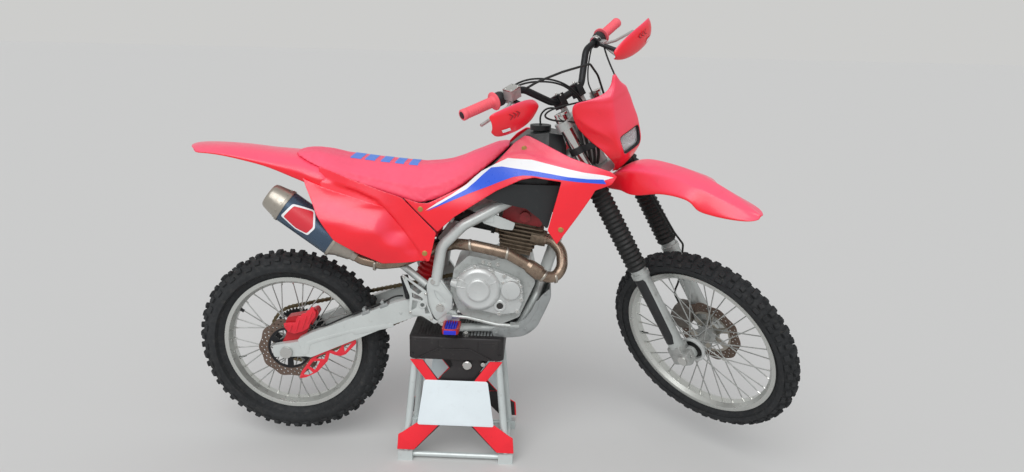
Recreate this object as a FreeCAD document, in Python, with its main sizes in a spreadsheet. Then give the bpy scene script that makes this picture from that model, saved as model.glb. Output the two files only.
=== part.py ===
import FreeCAD, Part
import math
import os

from FreeCAD import Placement, Rotation, Vector

# Dirt bike on a paddock stand, in millimetres. X points forward, Y to the left and Z up.
# Outlines are written from the rear axle in X, from the middle plane in Y and from the floor in Z.
# The origin of the finished part is on the floor, in the middle of the stand's four feet.

DOCUMENT = FreeCAD.newDocument("DirtBike")
SHEET = DOCUMENT.addObject("Spreadsheet::Sheet", "Dimensions")

DIMENSIONS = (
    ("origin_ahead_of_rear_axle", 582.0),
    ("rear_axle_height", 374.0),
    ("front_axle_reach", 1426.0),
    ("front_axle_height", 453.0),
    ("rake_degrees", 29.0),
    ("front_axle_offset", 56.0),
    ("steering_lock_degrees", 45.0),
    ("running_gap", 0.05),
    ("seat_gap", 0.3),
    ("rear_tyre_radius", 334.0),
    ("rear_tyre_width", 108.0),
    ("rear_rim_radius", 243.0),
    ("rear_rim_width", 58.0),
    ("front_tyre_radius", 346.0),
    ("front_tyre_width", 84.0),
    ("front_rim_radius", 280.5),
    ("front_rim_width", 48.0),
    ("tyre_wall", 9.0),
    ("tread_rows", 36.0),
    ("lug_height", 12.0),
    ("rim_depth", 25.0),
    ("rim_wall", 5.0),
    ("rim_bed_half_width", 8.0),
    ("spoke_radius", 2.0),
    ("rear_axle_radius", 12.5),
    ("front_axle_radius", 10.0),
    ("rear_hub_half_length", 60.0),
    ("front_hub_half_length", 55.0),
    ("hub_flange_thickness", 6.0),
    ("rear_hub_flange_radius", 40.0),
    ("front_hub_flange_radius", 34.0),
    ("rear_disc_radius", 110.0),
    ("rear_disc_offset", 66.0),
    ("rear_disc_thickness", 4.5),
    ("front_disc_radius", 120.0),
    ("front_disc_offset", 52.0),
    ("front_disc_thickness", 3.5),
    ("rear_sprocket_radius", 97.0),
    ("sprocket_offset", 66.0),
    ("sprocket_thickness", 7.0),
    ("drive_sprocket_radius", 28.0),
    ("drive_sprocket_reach", 592.0),
    ("drive_sprocket_height", 588.0),
    ("chain_height", 14.0),
    ("chain_width", 14.0),
    ("chain_links", 50.0),
    ("chain_waist", 9.6),
    ("pivot_reach", 530.0),
    ("pivot_height", 560.0),
    ("pivot_tube_radius", 15.0),
    ("arm_outer_half_width", 105.0),
    ("arm_tube_width", 28.0),
    ("frame_tube_radius", 18.0),
    ("frame_half_width", 108.0),
    ("cradle_half_width", 62.0),
    ("cradle_tube_radius", 14.0),
    ("downtube_radius", 20.0),
    ("head_tube_low", 702.0),
    ("head_tube_high", 860.0),
    ("head_tube_radius", 28.0),
    ("stem_radius", 15.0),
    ("clamp_gap", 1.0),
    ("lower_clamp_height", 30.0),
    ("upper_clamp_height", 26.0),
    ("fork_half_spacing", 90.0),
    ("fork_offset", 32.0),
    ("stanchion_radius", 20.5),
    ("stanchion_top", 905.0),
    ("slider_radius", 26.0),
    ("slider_top", 345.0),
    ("gaiter_top", 668.0),
    ("gaiter_radius", 34.0),
    ("gaiter_valley_radius", 28.5),
    ("gaiter_ribs", 20.0),
    ("bar_radius", 11.0),
    ("grip_radius", 16.5),
    ("grip_flange_radius", 28.0),
    ("bar_half_width", 388.0),
    ("grip_inner_half_width", 268.0),
    ("plastic_wall", 4.0),
    ("plate_wall", 4.0),
    ("exhaust_radius", 18.5),
    ("muffler_radius", 56.0),
    ("deck_height", 455.0),
    ("deck_half_length", 160.0),
    ("deck_half_width", 120.0),
    ("deck_centre_reach", 582.0),
    ("deck_skirt", 80.0),
    ("foot_half_length", 200.0),
    ("foot_half_width", 142.0),
    ("foot_height", 34.0),
    ("leg_tube_radius", 12.0),
)

for row, (alias, value) in enumerate(DIMENSIONS, start=1):
    cell = "B%d" % row
    SHEET.set("A%d" % row, alias)
    SHEET.set(cell, str(value))
    SHEET.setAlias(cell, alias)
DOCUMENT.recompute()


def size(alias):
    """Value of one driving dimension, read from the sheet."""
    return float(SHEET.get(alias))


def bind(item, prop, expression):
    """Tie one property of an object to the sheet."""
    item.setExpression(prop, expression)


NODES = []


def keep(item):
    """Count an object among the sub-parts that are written out."""
    NODES.append(item)
    return item


# Reference places

# The bike is drawn with its lowest plate this high, and lifted by what the deck is higher.
UNDERSIDE_HEIGHT = 455.0
LIFT = size("deck_height") - UNDERSIDE_HEIGHT
FLOOR = Placement(Vector(-size("origin_ahead_of_rear_axle"), 0, 0), Rotation())
SHIFT = Placement(Vector(-size("origin_ahead_of_rear_axle"), 0, LIFT), Rotation())
REAR_AXLE = Vector(0, 0, size("rear_axle_height"))
FRONT_AXLE = Vector(size("front_axle_reach"), 0, size("front_axle_height"))
RAKE = math.radians(size("rake_degrees"))
STEER_UP = Vector(-math.sin(RAKE), 0, math.cos(RAKE))
STEER_AHEAD = Vector(math.cos(RAKE), 0, math.sin(RAKE))
PIVOT = Vector(size("pivot_reach"), 0, size("pivot_height"))
STEER_BASE = FRONT_AXLE - STEER_AHEAD * size("front_axle_offset")
LOCK_TURN = Placement(Vector(), Rotation(STEER_UP, -size("steering_lock_degrees")), STEER_BASE)

# Chassis pieces stand as they are drawn. Steered pieces are drawn straight ahead and turned to the
# right lock. Fork pieces are drawn about the steering axis: X ahead of it, Z up along it.
CHASSIS = SHIFT
STEERED = SHIFT.multiply(LOCK_TURN)
FORK_LEAN = Placement(STEER_BASE, Rotation(Vector(0, 1, 0), -size("rake_degrees")))
FORK = STEERED.multiply(FORK_LEAN)
REAR_WHEEL = SHIFT.multiply(Placement(REAR_AXLE, Rotation()))
FRONT_WHEEL = STEERED.multiply(Placement(FRONT_AXLE, Rotation()))


def along_fork(reach, height):
    """Bike-frame point at a reach ahead of the steering axis and a height along it."""
    return STEER_BASE + STEER_AHEAD * reach + STEER_UP * height


# Shape helpers

def rounded_edges(points, bend, closed=False):
    """Straight runs joined by tangent arcs of radius bend, or less where the runs are short."""
    count = len(points)
    corners = range(count) if closed else range(1, count - 1)
    bends = {}
    for index in corners:
        here = points[index]
        into = here - points[index - 1]
        out = points[(index + 1) % count] - here
        half_turn = into.getAngle(out) / 2
        if half_turn < 0.01 or bend <= 0:
            bends[index] = (here, None, here)
            continue
        reach = min(bend * math.tan(half_turn), 0.45 * min(into.Length, out.Length))
        radius = reach / math.tan(half_turn)
        start = here - Vector(into).normalize() * reach
        end = here + Vector(out).normalize() * reach
        inward = ((start - here) + (end - here)).normalize()
        middle = here + inward * (radius / math.cos(half_turn) - radius)
        bends[index] = (start, middle, end)
    edges = []
    runs = range(count) if closed else range(count - 1)
    for index in runs:
        after = (index + 1) % count
        start = bends[index][2] if index in bends else points[index]
        end = bends[after][0] if after in bends else points[after]
        if (end - start).Length > 1e-6:
            edges.append(Part.LineSegment(start, end).toShape())
        if after in bends and bends[after][1] is not None:
            edges.append(Part.Arc(*bends[after]).toShape())
    return edges


def outline(points, bend=0.0):
    """Closed wire with rounded corners."""
    return Part.Wire(rounded_edges(points, bend, closed=True))


def side_points(pairs, y=0.0):
    """Points of a side view, from pairs of X and Z."""
    return [Vector(x, y, z) for x, z in pairs]


def by_pivot(pairs):
    """Side-view points measured from the swingarm's pivot."""
    return [(PIVOT.x + ahead, PIVOT.z + up) for ahead, up in pairs]


def pivot_point(ahead, y, up):
    """Point measured from the swingarm's pivot."""
    return Vector(PIVOT.x + ahead, y, PIVOT.z + up)


def plate(pairs, y_low, y_high, bend=0.0):
    """Slab with a side-view outline, between two values of Y."""
    face = Part.Face(outline(side_points(pairs, y_low), bend))
    return face.extrude(Vector(0, y_high - y_low, 0))


def tube(points, radius, bend):
    """Round bar along straight runs with tangent bends."""
    path = Part.Wire(rounded_edges(points, bend))
    direction = points[1] - points[0]
    profile = Part.Wire(Part.Circle(points[0], direction, radius).toShape())
    return path.makePipeShell([profile], True, False)


def rod(start, end, radius):
    """Straight round bar between two points."""
    direction = end - start
    return Part.makeCylinder(radius, direction.Length, start, direction)


def cone(start, end, start_radius, end_radius):
    """Tapered round bar between two points."""
    direction = end - start
    return Part.makeCone(start_radius, end_radius, direction.Length, start, direction)


def mirrored(shape):
    """The same shape on the other side of the middle plane."""
    return shape.mirror(Vector(), Vector(0, 1, 0))


def both_sides(shape):
    """A right-hand shape together with its left-hand twin."""
    return Part.makeCompound([shape, mirrored(shape)])


def joined(shapes):
    """One solid from shapes that meet."""
    first = shapes[0]
    return first.multiFuse(shapes[1:]).removeSplitter()


def loft(wires):
    """Solid through a row of closed sections."""
    return Part.makeLoft(wires, True, True)


def boxed(centre, length, width, height):
    """Block about a centre point."""
    corner = Vector(centre.x - length / 2, centre.y - width / 2, centre.z - height / 2)
    return Part.makeBox(length, width, height, corner)


def leaned(shape):
    """A shape drawn about the steering axis, brought into the bike's frame."""
    shape.Placement = FORK_LEAN.multiply(shape.Placement)
    return shape


# Object helpers

def feature(label, shape, placement):
    """Sub-part whose shape is worked out by functions."""
    item = DOCUMENT.addObject("Part::Feature", label)
    item.Label = label
    item.Shape = shape
    item.Placement = placement.multiply(shape.Placement)
    return keep(item)


def sketch_on(body, role, wires):
    """Sketch of closed wires, given in the plane's own X and Y."""
    plane = [item for item in body.Origin.OriginFeatures if item.Role == role][0]
    sketch = body.newObject("Sketcher::SketchObject", body.Label + "_sketch")
    sketch.AttachmentSupport = [(plane, "")]
    sketch.MapMode = "FlatFace"
    for wire in wires:
        for edge in wire.Edges:
            first, last = edge.ParameterRange
            if isinstance(edge.Curve, Part.Line):
                sketch.addGeometry(Part.LineSegment(edge.valueAt(first), edge.valueAt(last)), False)
            elif abs(last - first) > 2 * math.pi - 1e-6:
                sketch.addGeometry(edge.Curve, False)
            else:
                sketch.addGeometry(Part.ArcOfCircle(edge.Curve, first, last), False)
    return sketch


def body_at(label, placement):
    """Empty body with its own place."""
    body = DOCUMENT.addObject("PartDesign::Body", label)
    body.Label = label
    body.Placement = placement
    return keep(body)


def padded_body(label, wires, length, placement, role="XZ_Plane"):
    """Body padded evenly to both sides of a plane, its thickness bound to the sheet."""
    body = body_at(label, placement)
    sketch = sketch_on(body, role, wires)
    pad = body.newObject("PartDesign::Pad", label + "_pad")
    pad.Profile = sketch
    pad.SideType = "Symmetric"
    bind(pad, "Length", length)
    return body


def turned_body(label, wire, placement):
    """Body turned about the axle from a half section, given as axle position and radius."""
    body = body_at(label, placement)
    sketch = sketch_on(body, "YZ_Plane", [wire])
    turn = body.newObject("PartDesign::Revolution", label + "_turn")
    turn.Profile = sketch
    turn.ReferenceAxis = (sketch, ["H_Axis"])
    turn.Angle = 360.0
    return body


def flat_circle(radius, x=0.0, y=0.0):
    """Circle in a sketch plane."""
    return Part.Wire(Part.Circle(Vector(x, y, 0), Vector(0, 0, 1), radius).toShape())


# Wheels. Each is drawn about its own axle.

# A knobby tyre is faceted: strips run round it, and each is cut across into tread rows with gaps between.
# Columns: strip of the outline, tread row that carries its lugs, share of the full lug height
LUG_STRIPS = ((2, 0, 0.7), (3, 1, 1.0), (4, 0, 1.0), (5, 1, 1.0), (6, 0, 0.7))
LUG_TAPER = 0.88


def tyre_outline(end):
    """Section of a tyre without its lugs, as axle position and radius, from the right bead to the left."""
    crown = size(end + "_tyre_radius") - size("lug_height")
    half = size(end + "_tyre_width") / 2
    edge = size(end + "_rim_radius")
    bead = size(end + "_rim_width") / 2 - size("rim_wall") - size("seat_gap")
    seat = (edge - rim_shoulder() + size("seat_gap")) / math.cos(math.pi / (2 * size("tread_rows")))
    lip = edge + 1.5
    right = (
        (bead, seat),
        (bead, lip),
        (half * 0.85, lip + 0.5 * (crown - lip)),
        (half * 0.7, crown - 0.16 * (crown - edge)),
        (half * 0.31, crown),
    )
    inner = bead - size("tyre_wall")
    apex = crown - 1.6 * size("tyre_wall")
    left = tuple((-place, radius) for place, radius in reversed(right))
    return right + left + ((-inner, seat), (0, apex), (inner, seat))


def tyre(label, end, placement):
    """Hollow knobby tyre whose beads lie on the rim's shoulders."""
    points = tyre_outline(end)
    cells = 2 * int(size("tread_rows"))

    def corner(cell, strip):
        place, radius = points[strip % len(points)]
        angle = 2 * math.pi * cell / cells
        return Vector(radius * math.sin(angle), place, radius * math.cos(angle))

    def lug_rise(cell, strip):
        for lug_strip, row, share in LUG_STRIPS:
            if lug_strip == strip and cell % 2 == 0 and cell // 2 % 2 == row:
                return share * size("lug_height")
        return 0.0

    faces = []
    for cell in range(cells):
        for strip in range(len(points)):
            base = [corner(cell, strip), corner(cell + 1, strip), corner(cell + 1, strip + 1),
                    corner(cell, strip + 1)]
            rise = lug_rise(cell, strip)
            if not rise:
                faces.append(Part.Face(outline(base)))
                continue
            out = (base[3] - base[0]).cross(base[1] - base[0]).normalize() * rise
            middle = (base[0] + base[1] + base[2] + base[3]) * 0.25
            top = [middle + (point - middle) * LUG_TAPER + out for point in base]
            faces.append(Part.Face(outline(top)))
            for first in range(4):
                second = (first + 1) % 4
                side = [base[first], base[second], top[second], top[first]]
                faces.append(Part.Face(outline(side)))
    shell = Part.makeShell(faces)
    shell.sewShape()
    feature(label, Part.Solid(shell), placement)


def rim_shoulder():
    """Depth of the bead seat below the rim's edge."""
    return 12.0


def rim(label, end, placement):
    """Drop-centre rim of aluminium."""
    edge = size(end + "_rim_radius")
    half = size(end + "_rim_width") / 2
    wall = size("rim_wall")
    bed = size("rim_bed_half_width")
    depth = size("rim_depth")
    seat = edge - rim_shoulder()
    right_half = (
        (half, edge),
        (half - wall, edge),
        (half - wall, seat),
        (bed + 4, seat - 1),
        (bed + 1, edge - depth + wall),
    )
    left_half = [(-y, radius) for y, radius in reversed(right_half)]
    underside = ((-half, seat - 2), (-bed - 4, edge - depth), (bed + 4, edge - depth), (half, seat - 2))
    points = [Vector(y, radius, 0) for y, radius in list(right_half) + left_half + list(underside)]
    return turned_body(label, outline(points), placement)


def spoked_hub(label, end, spokes, carriers, placement):
    """Hub spool with its crossed spokes, which reach the rim's bed, and its disc and sprocket seats."""
    half = size(end + "_hub_half_length")
    flange = size(end + "_hub_flange_radius")
    thickness = size("hub_flange_thickness")
    bore = size(end + "_axle_radius") + size("running_gap")
    collar = bore + 7
    barrel = flange - 14
    inner_flange = half * 0.58
    right_half = (
        (half, bore),
        (half, collar),
        (inner_flange + thickness, collar),
        (inner_flange + thickness, flange),
        (inner_flange, flange),
        (inner_flange - 6, barrel),
    )
    left_half = [(-y, radius) for y, radius in reversed(right_half)]
    ring = [Vector(0, y, radius) for y, radius in list(right_half) + left_half]
    spool = Part.Face(outline(ring)).revolve(Vector(), Vector(0, 1, 0), 360)
    seats = []
    for side, reach, radius in carriers:
        foot = Vector(0, side * (inner_flange + thickness - 1), 0)
        face = Vector(0, side * reach, 0)
        seats.append(rod(foot, face, radius).cut(rod(foot, face, bore + 8)))
    bed = size(end + "_rim_radius") - size("rim_depth") - 3 * size("seat_gap")
    bars = []
    cross = math.radians(52)
    for number in range(spokes):
        side = 1 if number % 2 else -1
        lean = 1 if (number // 2) % 2 else -1
        rim_angle = 2 * math.pi * number / spokes
        hub_angle = rim_angle + lean * cross
        root = Vector((flange - 5) * math.cos(hub_angle), side * (inner_flange + thickness / 2),
                      (flange - 5) * math.sin(hub_angle))
        tip = Vector(bed * math.cos(rim_angle), side * 3.0, bed * math.sin(rim_angle))
        bars.append(rod(root, tip, size("spoke_radius")))
    return feature(label, joined([spool] + seats + bars), placement)


def brake_disc(label, end, side, placement):
    """Wavy brake disc with drilled holes and open spokes between ring and carrier."""
    radius = size(end + "_disc_radius")
    inner = radius - 30
    waves = 10
    rim_points = []
    for number in range(2 * waves):
        angle = math.pi * number / waves
        reach = radius if number % 2 == 0 else radius - 8
        rim_points.append(Vector(reach * math.cos(angle), reach * math.sin(angle), 0))
    offset = size(end + "_disc_offset") * side
    place = placement.multiply(Placement(Vector(0, offset, 0), Rotation()))
    bore = size(end + "_axle_radius") + 9
    body = padded_body(label, [outline(rim_points, 30), flat_circle(bore)],
                       "Dimensions.%s_disc_thickness" % end, place)
    DOCUMENT.recompute()
    gaps = 5
    half_gap = math.radians(26)
    low = bore + 14
    window = [Vector(r * math.cos(a), r * math.sin(a), 0)
              for r, a in ((low, -half_gap), (inner, -half_gap), (inner + 1, 0), (inner, half_gap),
                           (low, half_gap))]
    sketch = sketch_on(body, "XZ_Plane", [outline(window, 6)])
    pocket = body.newObject("PartDesign::Pocket", label + "_window")
    pocket.Profile = sketch
    pocket.Type = 1
    pocket.SideType = "Symmetric"
    pattern = body.newObject("PartDesign::PolarPattern", label + "_windows")
    pattern.Originals = [pocket]
    pattern.Axis = (sketch, ["N_Axis"])
    pattern.Angle = 360.0
    pattern.Occurrences = gaps
    body.Tip = pattern
    return body


def toothed(radius, teeth):
    """Corner points of a chain wheel."""
    points = []
    for number in range(teeth):
        middle = 2 * math.pi * number / teeth
        for share, reach in ((-0.32, radius - 5), (-0.14, radius), (0.14, radius), (0.32, radius - 5)):
            angle = middle + share * 2 * math.pi / teeth
            points.append(Vector(reach * math.cos(angle), reach * math.sin(angle), 0))
    return points


def sprocket(placement):
    """Rear chain wheel with teeth and lightening windows."""
    points = toothed(size("rear_sprocket_radius"), 48)
    place = placement.multiply(Placement(Vector(0, size("sprocket_offset"), 0), Rotation()))
    bore = size("rear_axle_radius") + 12
    windows = [flat_circle(13, 68 * math.cos(a), 68 * math.sin(a))
               for a in [math.pi * n / 4 for n in range(8)]]
    return padded_body("rear_sprocket", [outline(points), flat_circle(bore)] + windows,
                       "Dimensions.sprocket_thickness", place)


def make_wheels():
    """Both wheels with their brake discs and the rear sprocket."""
    tyre("rear_tyre", "rear", REAR_WHEEL)
    rim("rear_rim", "rear", REAR_WHEEL)
    gap = size("seat_gap")
    disc_face = size("rear_disc_offset") - size("rear_disc_thickness") / 2 - gap
    sprocket_face = size("sprocket_offset") - size("sprocket_thickness") / 2 - gap
    spoked_hub("rear_hub", "rear", 36, ((-1, disc_face, 34), (1, sprocket_face, 48)), REAR_WHEEL)
    brake_disc("rear_disc", "rear", -1, REAR_WHEEL)
    sprocket(REAR_WHEEL)
    tyre("front_tyre", "front", FRONT_WHEEL)
    rim("front_rim", "front", FRONT_WHEEL)
    disc_face = size("front_disc_offset") - size("front_disc_thickness") / 2 - gap
    spoked_hub("front_hub", "front", 36, ((1, disc_face, 31),), FRONT_WHEEL)
    brake_disc("front_disc", "front", 1, FRONT_WHEEL)


# Frame and swingarm

def make_frame():
    """Twin-spar tube frame with a single downtube and a split cradle."""
    radius = size("frame_tube_radius")
    half = size("frame_half_width")
    cradle = size("cradle_half_width")
    head_low = along_fork(0, size("head_tube_low"))
    head_high = along_fork(0, size("head_tube_high"))
    head = rod(head_low, head_high, size("head_tube_radius"))
    stem_hole = rod(head_low - STEER_UP * 5, head_high + STEER_UP * 5,
                    size("stem_radius") + size("running_gap"))
    spar_start = along_fork(-8, (size("head_tube_low") + size("head_tube_high")) / 2)
    spar = tube([
        Vector(spar_start.x, -8, spar_start.z),
        Vector(860, -64, 985),
        Vector(725, -half + 24, 906),
        Vector(603, -half, 842),
        Vector(PIVOT.x + 2, -half, 768),
        pivot_point(-16, -half, 80),
    ], radius, 60)
    downtube_low = Vector(868, 0, 652)
    downtube = rod(along_fork(-12, size("head_tube_low") + 60), downtube_low, size("downtube_radius"))
    rail_height = UNDERSIDE_HEIGHT + size("plate_wall") + size("cradle_tube_radius")
    rail = tube([
        downtube_low + Vector(6, 0, 20),
        Vector(842, -cradle, 588),
        Vector(786, -cradle, rail_height),
        Vector(655, -cradle, rail_height),
        pivot_point(54, -half + 12, -77),
        pivot_point(15, -half + 4, -39),
    ], size("cradle_tube_radius"), 50)
    pivot_plate = plate(by_pivot([(-39, 94), (-11, 104), (5, 95), (39, 42), (39, -3), (8, -24),
                                  (-16, -41), (-30, -20), (-47, 37)]), -half - 10, -half + 7, 4)
    peg_hanger = plate(by_pivot([(-16, -20), (15, 0), (50, -13), (62, -40), (62, -68), (30, -72),
                                 (-10, -55)]), -half - 10, -half + 4, 4)
    hanger_plate = plate([(655, 862), (700, 878), (770, 850), (762, 826), (722, 830), (668, 846)],
                         -half + 14, -half + 18, 5)
    hanger_arm = plate([(672, 850), (700, 850), (700, 905), (672, 890)], -half + 12, -half + 20, 3)
    shock_ear = plate([(508, 772), (520, 764), (534, 770), (580, 808), (566, 826), (548, 820)],
                      -26, -18, 3)
    right = [spar, rail, pivot_plate, peg_hanger, hanger_plate, hanger_arm, shock_ear]
    pivot_tube = rod(PIVOT - Vector(0, half, 0), PIVOT + Vector(0, half, 0), size("pivot_tube_radius"))
    top_cross = rod(Vector(566, -half, 812), Vector(566, half, 812), 12)
    low_cross = rod(pivot_point(30, -half, -66), pivot_point(30, half, -66), 10)
    pieces = [head] + right + [mirrored(item) for item in right]
    pieces += [downtube, pivot_tube, top_cross, low_cross]
    frame = joined(pieces).cut(stem_hole)
    feature("main_frame", frame, CHASSIS)


def make_subframe():
    """Rear rails and struts that carry the seat, with cross tubes."""
    rail = tube([Vector(566, -72, 846), Vector(462, -76, 904.3), Vector(262, -72, 970.5),
                 Vector(150, -66, 980), Vector(-20, -52, 1028)], 11, 60)
    strut = tube([pivot_point(-49, -size("frame_half_width") + 10, 72),
                  Vector(382, -82, 706), Vector(250, -74, 820),
                  Vector(152, -66, 978)], 12, 60)
    crosses = [rod(Vector(x, -half, z), Vector(x, half, z), 8)
               for x, half, z in ((-10, 52, 1025), (290, 72, 961))]
    feature("subframe", joined([rail, strut, mirrored(rail), mirrored(strut)] + crosses), CHASSIS)


def make_swingarm():
    """Box-section swingarm with axle plates, a cross tube and the rear axle."""
    outer = size("arm_outer_half_width")
    inner = outer - size("arm_tube_width")
    axle = size("rear_axle_radius")
    height = size("rear_axle_height")
    tail = [(x, z + height - 374) for x, z in ((84, 358), (58, 362), (41, 422), (86, 447))]
    arm = plate(tail + by_pivot([(-154, 8), (-90, 25), (-10, 20), (-10, -20), (-90, -42), (-156, -69)]),
                -outer, -inner, 6)
    plate_side = size("frame_half_width") - 7 - size("seat_gap")
    plate_room = Part.makeBox(120, 40, 200, pivot_point(-66, -plate_side - 40, -100))
    barrel = rod(pivot_point(0, -plate_side, 0), pivot_point(0, -inner, 0), 25)
    pivot_bore = rod(PIVOT - Vector(0, outer, 0), PIVOT + Vector(0, outer, 0),
                     size("pivot_tube_radius") + size("seat_gap"))
    shock_ear = plate(by_pivot([(-100, 0), (-90, 46), (-78, 54), (-66, 46), (-82, -15)]), -26, -18, 3)
    axle_plate = plate([(-44, height - 22), (-50, height), (-44, height + 22), (70, height + 44),
                        (110, height + 30), (80, height - 14)], -outer + 4, -inner - 2, 8)
    bore = rod(Vector(0, -outer - 5, height), Vector(0, outer + 5, height),
               axle + size("running_gap"))
    cross = rod(pivot_point(-100, -inner - 5, -12), pivot_point(-100, inner + 5, -12), 24)
    right_arm = joined([arm.cut(plate_room), barrel, axle_plate])
    pieces = [right_arm, mirrored(right_arm), cross, shock_ear, mirrored(shock_ear)]
    feature("swingarm", joined(pieces).cut(bore).cut(pivot_bore), CHASSIS)
    shaft = rod(Vector(0, -outer - 8, height), Vector(0, outer + 8, height), axle)
    nuts = [rod(Vector(0, side * (outer + 8), height), Vector(0, side * (outer - 3), height), 20)
            for side in (-1, 1)]
    hub_end = size("rear_hub_half_length") + size("seat_gap")
    spacers = [rod(Vector(0, side * hub_end, height), Vector(0, side * (inner + 1.5), height), 18)
               for side in (-1, 1)]
    feature("rear_axle", joined([shaft] + nuts + spacers), CHASSIS)


def belt_outline(centre_a, radius_a, centre_b, radius_b):
    """Closed side-view wire of a belt round two circles."""
    span = centre_b - centre_a
    slope = math.atan2(span.z, span.x)
    spread = math.acos((radius_a - radius_b) / span.Length)
    edges = []
    ends = []
    for centre, radius in ((centre_a, radius_a), (centre_b, radius_b)):
        pair = []
        for turn in (spread, -spread):
            angle = slope + turn
            pair.append(centre + Vector(math.cos(angle), 0, math.sin(angle)) * radius)
        ends.append(pair)
    back = centre_a - Vector(math.cos(slope), 0, math.sin(slope)) * radius_a
    front = centre_b + Vector(math.cos(slope), 0, math.sin(slope)) * radius_b
    edges.append(Part.LineSegment(ends[0][0], ends[1][0]).toShape())
    edges.append(Part.Arc(ends[1][0], front, ends[1][1]).toShape())
    edges.append(Part.LineSegment(ends[1][1], ends[0][1]).toShape())
    edges.append(Part.Arc(ends[0][1], back, ends[0][0]).toShape())
    return Part.Wire(edges)


def make_chain():
    """Drive chain as one loop round both sprockets, and the drive sprocket."""
    drive = Vector(size("drive_sprocket_reach"), 0, size("drive_sprocket_height"))
    middle = size("sprocket_offset")
    half_width = size("chain_width") / 2
    inner_gap = 1.0
    tall = size("chain_height")
    rear_radius = size("rear_sprocket_radius") + inner_gap + tall / 2
    drive_radius = size("drive_sprocket_radius") + inner_gap + tall / 2
    shift = Vector(0, middle - half_width, 0)
    run = belt_outline(REAR_AXLE + shift, rear_radius, drive + shift, drive_radius)
    places = run.discretize(Number=2 * int(size("chain_links")) + 1)[:-1]
    edges = ([], [])
    for step, place in enumerate(places):
        along = places[(step + 1) % len(places)] - places[step - 1]
        out = Vector(along.z, 0, -along.x).normalize()
        reach = size("chain_waist" if step % 2 else "chain_height") / 2
        for edge, side in zip(edges, (-1, 1)):
            edge.append(place + out * (side * reach))
    faces = sorted([Part.Face(outline(edge)) for edge in edges], key=lambda face: face.Area)
    feature("drive_chain", faces[1].cut(faces[0]).extrude(Vector(0, 2 * half_width, 0)), CHASSIS)
    face = Part.Face(outline(toothed(size("drive_sprocket_radius"), 13)))
    wheel = face.extrude(Vector(0, 0, size("sprocket_thickness")))
    shaft_start = 50 + size("seat_gap") - middle
    shaft = Part.makeCylinder(11, 10 - shaft_start, Vector(0, 0, shaft_start))
    wheel.translate(Vector(0, 0, -size("sprocket_thickness") / 2))
    turn = Rotation(Vector(1, 0, 0), -90)
    feature("drive_sprocket", joined([wheel, shaft]),
            CHASSIS.multiply(Placement(drive + Vector(0, middle, 0), turn)))


# Engine

ENGINE_RIGHT = -100.0
ENGINE_LEFT = 92.0
CYLINDER_LEAN = math.radians(10)
CYLINDER_FOOT = Vector(766, 0, 716)
CYLINDER_AHEAD = Vector(math.cos(CYLINDER_LEAN), 0, -math.sin(CYLINDER_LEAN))
CYLINDER_UP = Vector(math.sin(CYLINDER_LEAN), 0, math.cos(CYLINDER_LEAN))
EXHAUST_PORT_SIDE = -42.0
INTAKE_PORT_UP = 70.0


def on_cylinder(ahead, side, up):
    """Bike-frame point from a place on the leaning cylinder."""
    return CYLINDER_FOOT + CYLINDER_AHEAD * ahead + Vector(0, side, 0) + CYLINDER_UP * (up + 22)


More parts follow.
